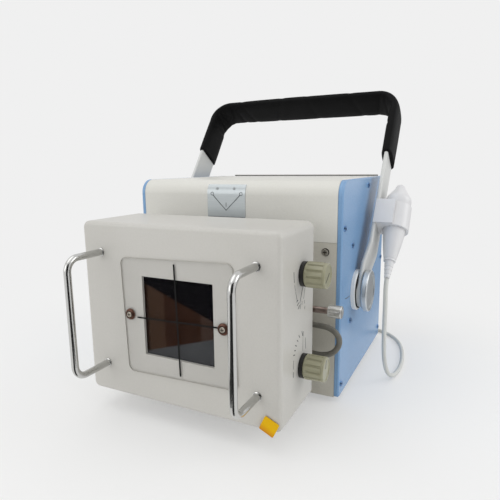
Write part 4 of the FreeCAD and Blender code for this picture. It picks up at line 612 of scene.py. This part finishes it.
wound_core, tree, shader, place = new_finish("laminated_iron_and_tape", Roughness=0.5)
axes = add(tree, "ShaderNodeSeparateXYZ", {0: place}).node.outputs
side = add(tree, "ShaderNodeMath", {0: axes["X"]}, operation="ABSOLUTE")
taped = add(tree, "ShaderNodeMath", {0: side, 1: 0.0221}, operation="LESS_THAN")
sheets = add(tree, "ShaderNodeTexWave", {"Vector": place, "Scale": 300.0}, bands_direction="Y")
paint(tree, shader, "#3B3C3F", (sheets, "#5C5D60"), (taped, "#C9A24B"))
dress(wound_core, "transformer")


def board_mask(name, depth):
    """Green solder mask with paler tracks about 1.5 mm wide; what stands past the board's
    own depth is the dark sleeve of its parts."""
    material, tree, shader, place = new_finish(name, Roughness=0.35, IOR=1.55)
    tracks = add(tree, "ShaderNodeTexBrick", {"Vector": place, "Scale": 60.0,
                                              "Color1": colour("#2C6A44"),
                                              "Color2": colour("#34774D"),
                                              "Mortar": colour("#7C9B5A"),
                                              "Mortar Size": 0.06})
    axes = add(tree, "ShaderNodeSeparateXYZ", {0: place}).node.outputs
    past = add(tree, "ShaderNodeMath", {0: axes["Y"], 1: depth}, operation="GREATER_THAN")
    paint(tree, shader, tracks, (past, "#2A3142"))
    return material


dress(board_mask("green_power_board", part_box("inverter_board")[0].y + 0.0018),
      "inverter_board")
dress(board_mask("green_control_board", 1.0), "control_board")


# The beam port is a turned aluminium flange on the front plate. The collimator's ring turns
# on its spigot and a knurled steel thumbscrew locks it.
turned_metal, tree, shader, place = new_finish(
    "turned_aluminium", Base_Color=colour("#A6A8A8"), Metallic=1.0, Roughness=0.36)
centred = add(tree, "ShaderNodeMapping", {"Vector": place, "Location": (0, 0, -0.093)})
cutter = add(tree, "ShaderNodeTexWave", {"Vector": centred, "Scale": 260.0, "Distortion": 0.4},
             wave_type="RINGS", rings_direction="Y")
add(tree, "ShaderNodeBump", {"Height": cutter, "Strength": 0.12, "Distance": 0.0003},
    shader.inputs["Normal"])
dress(turned_metal, "port_flange", "swivel_ring")


def turned(profile, centre, axis="X", columns=64, waves=0):
    """A profile of place, radius and flute depth turned about an axis: the radius is less by
    the depth at each flute, whose section falls with the fourth power over the angle."""
    profile = np.array([(*row, 0)[:3] for row in profile], float)
    angle = np.linspace(0, 2 * np.pi, columns, endpoint=False)[None, :]
    place, radius, depth = profile.T[:, :, None]
    if waves:
        off = (angle * waves / (2 * np.pi) + 0.5) % 1 - 0.5
        radius = radius - depth * np.exp(-(off / 0.16) ** 4)
    place = np.broadcast_to(place, (len(profile), columns))
    if axis == "X":
        points = (place, centre[0] + radius * np.cos(angle), centre[1] + radius * np.sin(angle))
    else:
        points = (centre[0] + radius * np.cos(angle), place, centre[1] + radius * np.sin(angle))
    return np.stack(points, axis=-1) * 0.001


knurled, tree, shader, place = new_finish("knurled_nickel_plated_steel", Metallic=1.0,
                                          Roughness=0.33)
axes = add(tree, "ShaderNodeSeparateXYZ", {0: place}).node.outputs
shank = add(tree, "ShaderNodeMath", {0: axes["X"], 1: 0.1070}, operation="LESS_THAN")
worn = add(tree, "ShaderNodeTexNoise", {"Vector": place, "Scale": 500.0, "Detail": 4.0})
paint(tree, shader, "#D9D9D7", (worn, "#B4B4B2"), (shank, "#8A7C75"))
thread = [(96 + 0.25 * step, 2.95 if step % 4 < 2 else 2.7) for step in range(36)]
lock_profile = [(43.8, 0), (43.8, 1.9), (44.2, 2.3), (66, 2.3), (66.5, 2.9), (95.5, 2.9),
                *thread, (105, 2.9), (107.0, 2.9), (107.2, 4.9), (107.4, 5.3), (108.2, 5.5),
                (108.5, 5.6, 0.45), (118.0, 5.6, 0.45), (118.4, 5.5), (119.0, 4.9),
                (119.0, 2.6), (118.8, 2.3), (118.8, 0)]
rings = turned(lock_profile, (-120, 93), columns=140, waves=14)
lock = build("lock_thumbscrew", rings, grid_faces(*rings.shape[:2], ends=False), knurled,
             "lock_screw", smooth=35)
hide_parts("lock_screw")


# The collimator is a rounded box of pressed steel with the same cream powder coat, closed
# at the back by a plate set into it. Its coat is a darker copy of that cream: painted shade.
collimator_coat_painted_shade = powder_coat("cream_collimator_coat_painted_shade", "#C6C4BF", "#BFBDB7", 0.38)
dress(collimator_coat_painted_shade, "collimator_shell", "collimator_back")

# Behind its square opening stands a pane of smoked acrylic, with the view into the box
# painted on it: painted shade, nearly black above; a painted brown reflection where the
# mirror behind it catches the room; and grey at its foot.
pane_painted_view, tree, shader, place = new_finish("smoked_acrylic_painted_shade_and_reflection", Roughness=0.08, IOR=1.49,
                                              Specular_IOR_Level=0.02)
axes = add(tree, "ShaderNodeSeparateXYZ", {0: place}).node.outputs
slopes = []
for slope, start in ((0.372, -0.1094), (-0.311, -0.0702)):
    line = add(tree, "ShaderNodeMath", {0: axes["X"], 1: slope, 2: start},
               operation="MULTIPLY_ADD")
    slopes.append(add(tree, "ShaderNodeMath", {0: line, 1: axes["Z"]},
                      operation="ADD"))
# These patches are painted shade of the box's hollow and a painted reflection of its mirror.
coats = []
for value, start, full, code in ((axes["X"], -0.0290, -0.0272, "#3A2A20"),
                                 (axes["X"], -0.0124, -0.0104, "#2C1A12"),
                                 (axes["X"], 0.0225, 0.0255, "#3B2D27"),
                                 (slopes[0], -0.0008, 0.0008, "#060508"),
                                 (slopes[1], 0.0012, -0.0006, "#434446")):
    coats.append((add(tree, "ShaderNodeMapRange", {"Value": value, "From Min": start,
                                                   "From Max": full}), code))
paint(tree, shader, "#22150F", *coats)
dress(pane_painted_view, "beam_window")

# Over it lies a clear polished acrylic sheet, laser-cut, its edges painted a darker grey as
# painted shade along them. Two black lines printed on it cross on the beam's axis.
SHEET_MIDDLE, SHEET_TURN, SHEET_FACE = (3.0, 93.0), math.radians(1.7), -198.2
clear_sheet = handled(
    "clear_polished_acrylic", 40.0, 3.0, 0.04, 0.12, Base_Color=colour("#141414"),
    Roughness=0.06, IOR=1.49, Alpha=0.03)[0]
acrylic_edge_shade_finish = mottled("acrylic_edge_painted_shade", "#B7B5AE", "#A29F97", 900.0, 2.0,
                    Roughness=0.3, IOR=1.49)


def on_crosshair_sheet(across, rise, lift):
    """A point on the sheet's face, in the sheet's own turned directions."""
    x = SHEET_MIDDLE[0] + across * math.cos(SHEET_TURN) - rise * math.sin(SHEET_TURN)
    z = SHEET_MIDDLE[1] + across * math.sin(SHEET_TURN) + rise * math.cos(SHEET_TURN)
    return np.stack([x, np.broadcast_to(SHEET_FACE - lift, x.shape), z], axis=-1) * 0.001


def rounded_outline(half_wide, half_high, corner, each=10):
    """A rectangle with rounded corners: each corner is a quarter circle of points."""
    angle = np.linspace(0, np.pi / 2, each)
    angle = np.concatenate([angle + quarter * np.pi / 2 for quarter in range(4)])
    way = np.repeat([(1, 1), (-1, 1), (-1, -1), (1, -1)], each, axis=0)
    return np.stack([way[:, 0] * (half_wide - corner) + corner * np.cos(angle),
                     way[:, 1] * (half_high - corner) + corner * np.sin(angle)])


layers = [rounded_outline(54.5 - inset, 51 - inset, 6 - inset) for inset in (0, 0, 0.3)]
rings = np.stack([on_crosshair_sheet(*layer, lift)
                  for layer, lift in zip(layers, (-1.14, -0.3, 0.0))])
sheet = build("crosshair_plate", rings, grid_faces(*rings.shape[:2]), clear_sheet,
              "collimator", smooth=30)
sheet.data.materials.append(acrylic_edge_shade_finish)
facing = np.empty(len(sheet.data.polygons) * 3)
sheet.data.polygons.foreach_get("normal", facing)
sheet.data.polygons.foreach_set("material_index", (
    np.abs(facing.reshape(-1, 3)[:, 1]) < 0.95).astype(int))
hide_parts("crosshair_sheet")

black_ink = mottled("black_printing_ink", "#060606", "#0C0C0C", 1500.0, 2.0,
                    Roughness=0.55, Specular_IOR_Level=0.2)
printed_line("crosshair_upright", np.linspace((0.9, 47.6), (0.5, -47.6), 3), 1.5,
             on_crosshair_sheet, black_ink, "collimator")
printed_line("crosshair_level", np.linspace((-40.3, -0.6), (39.2, -0.6), 3), 1.3,
             on_crosshair_sheet, black_ink, "collimator", thick=0.09)

# A cup washer of browned bronze and a nickel-plated cross-head screw hold each side.
cup_metal, tree, shader, place = new_finish("browned_bronze_and_nickel", Metallic=1.0,
                                            Roughness=0.34)
flat = add(tree, "ShaderNodeVectorMath", {0: place, 1: (1, 0, 1)}, operation="MULTIPLY")
near = [add(tree, "ShaderNodeVectorMath", {0: flat, 1: (x, 0, 0.093)},
            operation="DISTANCE") for x in (-0.0448, 0.0468)]
close = add(tree, "ShaderNodeMath", {0: near[0], 1: near[1]}, operation="MINIMUM")
screw = add(tree, "ShaderNodeMath", {0: close, 1: 0.00255}, operation="LESS_THAN")
# The screw's cross slot, deeper than its head's face, is painted dark as painted shade.
depth = add(tree, "ShaderNodeSeparateXYZ", {0: place}).node.outputs
deep = add(tree, "ShaderNodeMath", {0: depth["Y"], 1: -0.1998}, operation="GREATER_THAN")
slot = add(tree, "ShaderNodeMath", {0: screw, 1: deep}, operation="MULTIPLY")
paint(tree, shader, "#6E5147", (screw, "#C2B9AC"), (slot, "#2A2421"))
dress(cup_metal, "sheet_screws")

# The two handles are 6 mm steel rod, bent, polished and bright-plated. A thin collar is
# pressed on at each of their mounts.
polished_rod = handled(
    "polished_plated_steel", 300.0, 3.0, 0.1, 0.24, Base_Color=colour("#C9C9C7"),
    Metallic=1.0, Roughness=0.16)[0]
dress(polished_rod, "collimator_handles")
for name, x in (("left", -75), ("right", 75)):
    for spot, z in (("low", 43), ("high", 145)):
        rings = turned([(-196.95, 3.15), (-196.95, 3.9), (-197.7, 3.8), (-198.0, 3.4),
                        (-198.0, 3.02), (-197.2, 3.02)], (x, z), axis="Y", columns=40)
        build(f"rod_ferrule_{name}_{spot}", rings,
              grid_faces(*rings.shape[:2], round_rows=True, ends=False), polished_rod,
              "collimator")

# The shutter knobs are fluted mouldings in greenish-grey plastic on steel shafts, each with a
# black skirt under it and a dark line across the end that shows how far it is turned. Inside
# the box each shaft carries the drum whose cord moves its shutters.
knob_plastic, tree, shader, place = new_finish("moulded_greenish_grey_plastic", Roughness=0.24,
                                               IOR=1.53)
axes = add(tree, "ShaderNodeSeparateXYZ", {0: place}).node.outputs
ring = add(tree, "ShaderNodeMath", {0: axes["X"], 1: 0.0985}, operation="LESS_THAN")
cloud = add(tree, "ShaderNodeTexNoise", {"Vector": place, "Scale": 150.0, "Detail": 3.0})
paint(tree, shader, "#9E9C83", (cloud, "#8E8C73"), (ring, "#171717"))
KNOB_Y, KNOB_HEIGHTS, KNOB_FACE = -152.5, {"upper": 132.0, "lower": 54.0}, 115.4
knob_profile = [(40, 0), (40, 3.7), (40.3, 4), (44, 4), (44, 12.6), (46.5, 12.6),
                (47.2, 12.0), (49.8, 12.0), (50.5, 12.6), (53, 12.6), (53, 4), (95.05, 4),
                (95.05, 10.3), (98.4, 10.3), (98.4, 9.4), (98.9, 9.4), (99.0, 10.0),
                (99.4, 10.45), (100.0, 10.5, 0.3), (100.8, 10.5, 1.1), (104, 10.5, 1.2),
                (109, 10.45, 1.2), (112.4, 10.4, 1.1), (113.2, 10.4, 0.3), (113.6, 10.4),
                (113.9, 10.1), (114.1, 10.4), (115.1, 10.4), (115.7, 10.1), (116.0, 9.6),
                (116.0, 9.1), (115.8, 8.8), (KNOB_FACE, 8.6), (KNOB_FACE, 4.3), (KNOB_FACE, 0)]
for name, height in KNOB_HEIGHTS.items():
    rings = turned(knob_profile, (KNOB_Y, height), columns=192, waves=12)
    knob = build(f"knob_grip_{name}", rings, grid_faces(*rings.shape[:2], ends=False),
                 knob_plastic, f"knob_{name}", smooth=32)
    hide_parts(f"shutter_knob_{name}")
on_knob_end = facing_right(KNOB_FACE, KNOB_Y)
printed_line("knob_line_upper", np.linspace((4.6, 133.4), (-4.6, 127.2), 3), 0.9, on_knob_end,
             black_ink, "knob_upper")
printed_line("knob_line_lower", np.linspace((1.2, 61.6), (-0.9, 55.0), 3), 0.9, on_knob_end,
             print_ink, "knob_lower")

# Thin scales are printed round the knobs: arcs with short ticks between them, and a pair of
# lines that leads from each knob to where its scale begins.
for name, strokes in (
        ("upper", (
            (-172.6, 137.4, -171.7, 129.0, 0.8), (-171.0, 127.0, -169.0, 121.6, 0.35),
            (-168.6, 120.6, -165.2, 113.0, 0.5), (-152.0, 122.0, -159.2, 109.2, 0.8),
            (-145.6, 123.0, -150.4, 110.6, 0.45), (-166.6, 112.2, -163.2, 113.0, 0.7),
            (-165.2, 108.8, -161.8, 110.4, 0.8), (-162.9, 105.4, -159.8, 107.8, 0.9),
            (-158.6, 104.2, -157.8, 108.4, 0.9), (-154.2, 106.6, -153.6, 109.6, 0.6),
            (-148.6, 106.2, -148.0, 108.8, 0.6), (-147.8, 101.2, -147.0, 103.8, 0.6))),
        ("lower", (
            (-153.6, 84.0, -151.4, 79.4, 1.0), (-150.6, 78.6, -149.6, 82.6, 0.7),
            (-145.2, 75.6, -144.2, 65.6, 0.6), (-150.8, 78.0, -151.2, 66.0, 0.35),
            (-160.8, 83.2, -158.8, 80.4, 0.8), (-164.8, 80.2, -162.2, 78.2, 0.8),
            (-168.4, 77.2, -165.6, 75.6, 0.8), (-170.6, 73.6, -167.6, 72.6, 0.8),
            (-172.6, 70.4, -169.4, 69.6, 0.8), (-172.2, 66.0, -172.5, 58.6, 0.45),
            (-172.5, 56.4, -172.5, 51.6, 0.8)))):
    for number, (y, z, end_y, end_z, width) in enumerate(strokes):
        printed_line(f"scale_{name}_{number}", np.linspace((y, z), (end_y, end_z), 3), width,
                     facing_right(95.0), print_ink, "collimator")

# Inside the box, lead shutter leaves slide before a first-surface mirror.
lead_metal = mottled("rolled_lead", "#54575B", "#74777A", 120.0, 5.0, Metallic=0.7,
                     Roughness=0.6)
dress(lead_metal, "shutter_leaf_left", "shutter_leaf_right", "shutter_leaf_low",
      "shutter_leaf_high")
mirror_face = handled(
    "silvered_glass", 60.0, 2.0, 0.02, 0.06, Base_Color=colour("#E4E6E6"), Metallic=1.0,
    Roughness=0.03)[0]
dress(mirror_face, "field_mirror")

# The tape measure's blade is thin lacquered steel, dished across, with plain ticks. Its tab is
# yellow polypropylene folded over the end and rounded; where it turns under it is painted
# orange as painted shade.
yellow_tab, tree, shader, place = new_finish("yellow_polypropylene", Roughness=0.36, IOR=1.49,
                                             Specular_IOR_Level=0.2)
axes = add(tree, "ShaderNodeSeparateXYZ", {0: place}).node.outputs
# Below a slanting line across the tab it is painted orange as painted shade; above it, yellow.
slope = add(tree, "ShaderNodeMath", {0: axes["X"], 1: 0.554}, operation="MULTIPLY")
slope = add(tree, "ShaderNodeMath", {0: slope, 1: axes["Z"]}, operation="ADD")
depth = add(tree, "ShaderNodeMapRange", {"Value": slope, "From Min": 0.0625,
                                         "From Max": 0.0685})
paint(tree, shader, "#C88200", (depth, "#E0B000"))
half_turn = np.linspace(0, np.pi, 13)
tab_section = np.concatenate([
    np.stack([5.7 + 0.6 * np.sin(half_turn), -0.7 + 0.6 * np.cos(half_turn)], axis=1),
    [(3.0, -1.9), (0.0, -2.5), (-2.0, -2.6)],
    np.stack([-3.6 - 2.6 * np.sin(half_turn[1:]), -1.35 - 1.25 * np.cos(half_turn[1:])],
             axis=1), [(-1.0, -0.1), (3.0, -0.1)]])
along = np.array([-7.1, -6.9, -6.4, -3, 0, 3, 5.2, 5.6, 5.75])[:, None]
shrink = np.array([0.8, 0.93, 1, 1, 1, 1, 1, 0.93, 0.8])[:, None]
middle = np.array([0.4, -1.2])
up = middle[0] + (tab_section[None, :, 0] - middle[0]) * shrink
out = middle[1] + (tab_section[None, :, 1] - middle[1]) * shrink
tilt = math.radians(25)
rings = np.stack([86 + along * math.cos(tilt) + up * math.sin(tilt), -197.4 + out,
                  20.6 - along * math.sin(tilt) + up * math.cos(tilt)], axis=-1) * 0.001
tab = build("tape_pull_tab", rings, grid_faces(*rings.shape[:2]), yellow_tab, "tape",
            smooth=45)
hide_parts("tape_tab")
tape_lacquer, tree, shader, place = new_finish("lacquered_tape_steel", Roughness=0.3, IOR=1.5)
axes = add(tree, "ShaderNodeSeparateXYZ", {0: place}).node.outputs
ticks = add(tree, "ShaderNodeMath", {0: axes["Y"], 1: 0.002}, operation="FLOORED_MODULO")
ticks = add(tree, "ShaderNodeMath", {0: ticks, 1: 0.0003}, operation="LESS_THAN")
side = add(tree, "ShaderNodeMath", {0: axes["X"], 1: 0.0865}, operation="GREATER_THAN")
ticks = add(tree, "ShaderNodeMath", {0: ticks, 1: side}, operation="MULTIPLY")
paint(tree, shader, "#E9D44B", (ticks, "#23211A"))
across = np.linspace(-1, 1, 9)
dished = np.concatenate([np.stack([4.0 * across, 0.3 * across ** 2], axis=1),
                         np.stack([4.0 * across, 0.3 * across ** 2 - 0.2], axis=1)[::-1]])
back = np.linspace(-197.6, -154.5, 12)[:, None]
rings = np.stack([85.5 + dished[None, :, 0] + 0 * back, back + 0 * dished[None, :, 0],
                  24.1 + dished[None, :, 1] + 0 * back], axis=-1) * 0.001
blade = build("tape_blade", rings, grid_faces(*rings.shape[:2]), tape_lacquer, "tape")
# A short liner in the same paint closes the slot's end beside the tab.
build("tape_slot_liner", [(x * 0.001, y * 0.001, z * 0.001) for y in (-197.0, -195.2)
                          for x, z in ((78.1, 23.3), (81.3, 23.3), (81.3, 25.1), (78.1, 25.1))],
      grid_faces(2, 4), collimator_coat_painted_shade, "collimator")


# The carrying handle is a flat steel strap bent to a U and painted white, clamped between
# turned aluminium discs on its two pivots.
white_coat = powder_coat("white_powder_coat", "#D0D1CF", "#C9CAC8", 0.42)
dress(white_coat, "handle_strap")
# The pivot spacers take a brighter copy of the white coat: painted light for their lit tops.
dress(powder_coat("white_coat_painted_light", "#EEEFEE", "#E8E9E8", 0.35), "pivot_spacers")
disc_metal, tree, shader, place = new_finish(
    "turned_clamp_aluminium", Base_Color=colour("#D6DADC"), Metallic=1.0, Roughness=0.4)
centred = add(tree, "ShaderNodeMapping", {"Vector": place, "Location": (0, 0.040, -0.093)})
cutter = add(tree, "ShaderNodeTexWave", {"Vector": centred, "Scale": 280.0}, wave_type="RINGS",
             rings_direction="X")
add(tree, "ShaderNodeBump", {"Height": cutter, "Strength": 0.2, "Distance": 0.0003},
    shader.inputs["Normal"])
dress(disc_metal, "clamp_disc_left", "clamp_disc_right")

# The grip is a tube of black closed-cell foam pushed over the strap before its ends were
# bent: full on the outside, creased inside both bends, cut square and a little uneven in
# how far it reaches down each leg.
LEAN, PIVOT = math.radians(36), (-40, 93)
STRAP_OUT, GRIP_ENDS, GRIP_REACH, GRIP_BEND = 121.5, (168.5, 159.0), 245.0, 22.0


def lean_back(x, deep, up):
    """A point of the upright handle carried to its place: turned back about its pivot."""
    return np.stack([x, PIVOT[0] + deep * math.cos(LEAN) + up * math.sin(LEAN),
                     PIVOT[1] - deep * math.sin(LEAN) + up * math.cos(LEAN)],
                    axis=-1) * 0.001


def grip_line(count=260):
    """Middle line of the sleeve by its length: straight leg, quarter bend of the strap's
    radius, straight top, quarter bend, straight leg; with its turn at each point."""
    left, right = (GRIP_REACH - GRIP_BEND - end for end in GRIP_ENDS)
    corner, top = math.pi / 2 * GRIP_BEND, 2 * (STRAP_OUT - GRIP_BEND)
    whole = left + 2 * corner + top + right
    along = np.linspace(0, whole, count)
    first = np.clip((along - left) / corner, 0, 1) * math.pi / 2
    last = np.clip((along - left - corner - top) / corner, 0, 1) * math.pi / 2
    x = (-STRAP_OUT + GRIP_BEND * (1 - np.cos(first)) + GRIP_BEND * np.sin(last)
         + np.clip(along - left - corner, 0, top))
    up = (GRIP_ENDS[0] + np.clip(along, 0, left) + GRIP_BEND * np.sin(first)
          - GRIP_BEND * (1 - np.cos(last)) - np.clip(along - whole + right, 0, right))
    level = np.clip((along - left - corner) / top, 0, 1)
    return along, x, up, first + last, whole, level, last / (math.pi / 2)


def soft_ring(half_thick, half_wide, power=2.7, count=56):
    """A section between an ellipse and an oblong: the shares of its two half sizes, each
    raised to the power, add up to one; with its direction outwards at each point."""
    angle = np.linspace(0, 2 * np.pi, count, endpoint=False) + np.pi / count
    share = np.stack([np.cos(angle), np.sin(angle)], axis=1)
    share = np.sign(share) * np.abs(share) ** (2 / power)
    out = np.sign(share) * np.abs(share) ** (power - 1) / [half_thick, half_wide]
    return share * [half_thick, half_wide], out / np.linalg.norm(out, axis=1)[:, None]


def oval_ring(half_thick, half_wide, corner, count=56):
    """A rounded oblong, corner by corner, with its direction outwards at each point."""
    angle = np.linspace(0, 2 * np.pi, count, endpoint=False) + np.pi / count
    out = np.stack([np.cos(angle), np.sin(angle)], axis=1)
    base = np.sign(out) * [half_thick - corner, half_wide - corner]
    return base + corner * out, out


along, line_x, line_up, turn, whole, level, falling = grip_line()
ring, out = soft_ring(5.2, 19.1)
from_end = np.minimum(along, whole - along)
rounding = np.where(from_end < 1.6, 1.6 - np.sqrt(np.clip(
    1.6 ** 2 - (1.6 - from_end) ** 2, 0, None)), 0)
swell = 0.35 * np.sin(along / 23.0 + 0.6) + 0.25 * np.sin(along / 9.1)
position, facing = along[:, None], out[None, :, 0]
flank = ring[None, :, 1] / 19.0
depth = (0.25 * swell[:, None]
         + 0.9 * np.sin(np.pi * level)[:, None] * np.clip(facing, 0, 1)
         + falling[:, None] * (0.8 * np.clip(facing, 0, 1) + 1.3 * np.clip(-facing, 0, 1)))
for spot, slant, deep, wide, inside in (
        (47, 5, 0.9, 2.2, 1), (60, -4, 1.3, 2.4, 1), (72, 3, 1.5, 2.6, 1),
        (84, -3, 1.2, 2.4, 1), (97, 4, 0.8, 2.2, 1), (112, 6, 0.55, 2.6, 0),
        (158, -7, 0.5, 3.0, 0), (205, 5, 0.35, 3.4, 0), (262, 7, 0.5, 3.0, 0),
        (whole - 97, -4, 0.8, 2.2, 1), (whole - 84, 3, 1.2, 2.4, 1),
        (whole - 72, -3, 1.5, 2.6, 1), (whole - 60, 4, 1.3, 2.4, 1),
        (whole - 47, -5, 0.9, 2.2, 1)):
    share = np.clip(-facing, 0, 1) if inside else 0.35 + 0.65 * np.abs(facing)
    depth = depth - deep * share * np.exp(-((position - spot - slant * flank) / wide) ** 2)
depth = depth - rounding[:, None]


def sleeve_wall(section, direction, depth):
    """Each section carried along the middle line, its first direction out of the U, and moved
    by a depth along its own outward direction."""
    outwards = section[None, :, 0] + depth * direction[None, :, 0]
    deep = section[None, :, 1] + depth * direction[None, :, 1]
    x = line_x[:, None] - outwards * np.cos(turn)[:, None]
    up = line_up[:, None] + outwards * np.sin(turn)[:, None]
    return lean_back(x, deep, up)


outer_wall = sleeve_wall(ring, out, depth)
bore, bore_out = oval_ring(2.15, 17.15, 1.9)
inner_wall = sleeve_wall(bore, bore_out, np.zeros((len(along), 56)))
foam, tree, shader, place = new_finish("black_closed_cell_foam", Roughness=0.6, IOR=1.45,
                                       Specular_IOR_Level=0.1)
cells = add(tree, "ShaderNodeTexVoronoi", {"Vector": place, "Scale": 900.0})
soft_cloud = add(tree, "ShaderNodeTexNoise", {"Vector": place, "Scale": 60.0, "Detail": 5.0})
paint(tree, shader, "#0A0A0B", (soft_cloud, "#161617"))
both = add(tree, "ShaderNodeMath", {0: cells, 1: soft_cloud}, operation="ADD")
add(tree, "ShaderNodeBump", {"Height": both, "Strength": 0.35, "Distance": 0.0006},
    shader.inputs["Normal"])
grip = build("foam_sleeve", np.concatenate([outer_wall, inner_wall[::-1]]),
             grid_faces(2 * len(along), 56, round_rows=True, ends=False), foam, "handle",
             smooth=60)
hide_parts("foam_grip")

# The hand switch is a white ABS shell in two halves, wider at its shoulder, held in a ring
# on the strap. A ribbed relief takes the cord and a white button stands in its top.
white_abs = mottled("moulded_white_abs", "#DFDFE0", "#D3D3D5", 45.0, 3.0,
                    (1100.0, 2.0, 0.1, 0.0002), Roughness=0.36, IOR=1.53)
dress(white_abs, "switch_holder")
SWITCH_X, SWITCH_SIDES = 140, 64


def turned_shell(profile, sides=SWITCH_SIDES):
    """A profile of radius and height turned round the hand switch's own leaning axis."""
    radius, height = np.asarray(profile, float).T
    angle = np.linspace(0, 2 * np.pi, sides, endpoint=False)[None, :]
    return lean_back(SWITCH_X + radius[:, None] * np.cos(angle),
                     radius[:, None] * np.sin(angle),
                     np.broadcast_to(height[:, None], (len(radius), sides)))


knots = np.array([(33.5, 5.6), (41.5, 7.3), (57.5, 9.9), (71, 11.6), (97, 12.4), (105.5, 13.1),
                  (107.6, 12.7), (112, 10.2), (116, 7.8), (119, 6.1), (122, 5.1)])
heights = np.linspace(33.5, 122, 90)
slopes = np.gradient(knots[:, 1], knots[:, 0])
which = np.clip(np.searchsorted(knots[:, 0], heights) - 1, 0, len(knots) - 2)
span = np.diff(knots[:, 0])[which]
t = (heights - knots[which, 0]) / span
radii = ((2 * t ** 3 - 3 * t ** 2 + 1) * knots[which, 1]
         + (t ** 3 - 2 * t ** 2 + t) * span * slopes[which]
         + (3 * t ** 2 - 2 * t ** 3) * knots[which + 1, 1]
         + (t ** 3 - t ** 2) * span * slopes[which + 1])
profile = [(0, 33.5), (5.6, 33.5), (6.1, 33.8), (6.1, 35.2), (5.8, 35.5)] + list(
    zip(radii[3:-1], heights[3:-1])) + [(5.0, 122.0), (4.8, 122.0), (4.6, 121.7),
                                        (4.6, 113.5), (0, 113.5)]
shell = build("hand_switch_body", turned_shell(profile), grid_faces(len(profile), SWITCH_SIDES,
                                                                    ends=False),
              white_abs, "hand_switch", smooth=50)
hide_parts("hand_switch_shell")
button_profile = [(0, 113.9), (4.2, 113.9), (4.35, 114.2), (4.35, 122.6), (4.2, 123.4),
                  (3.7, 124.0), (2.8, 124.3), (0, 124.4)]
button = build("hand_switch_button", turned_shell(button_profile),
               grid_faces(len(button_profile), SWITCH_SIDES, ends=False), white_abs,
               "exposure_button", smooth=50)
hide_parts("exposure_button")
sleeve_profile = [(0, 15.2), (2.5, 15.2), (2.75, 15.6), (3.0, 18.0), (2.8, 18.5), (2.8, 19.1),
                  (3.25, 19.5), (3.45, 22.0), (3.25, 22.5), (3.25, 23.1), (3.75, 23.5),
                  (4.0, 26.0), (3.8, 26.5), (3.8, 27.1), (4.25, 27.5), (4.7, 33.2), (4.7, 33.4),
                  (0, 33.4)]
sleeve = build("cord_relief_sleeve", turned_shell(sleeve_profile),
               grid_faces(len(sleeve_profile), SWITCH_SIDES, ends=False), white_abs,
               "hand_switch", smooth=35)
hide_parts("switch_strain_relief")
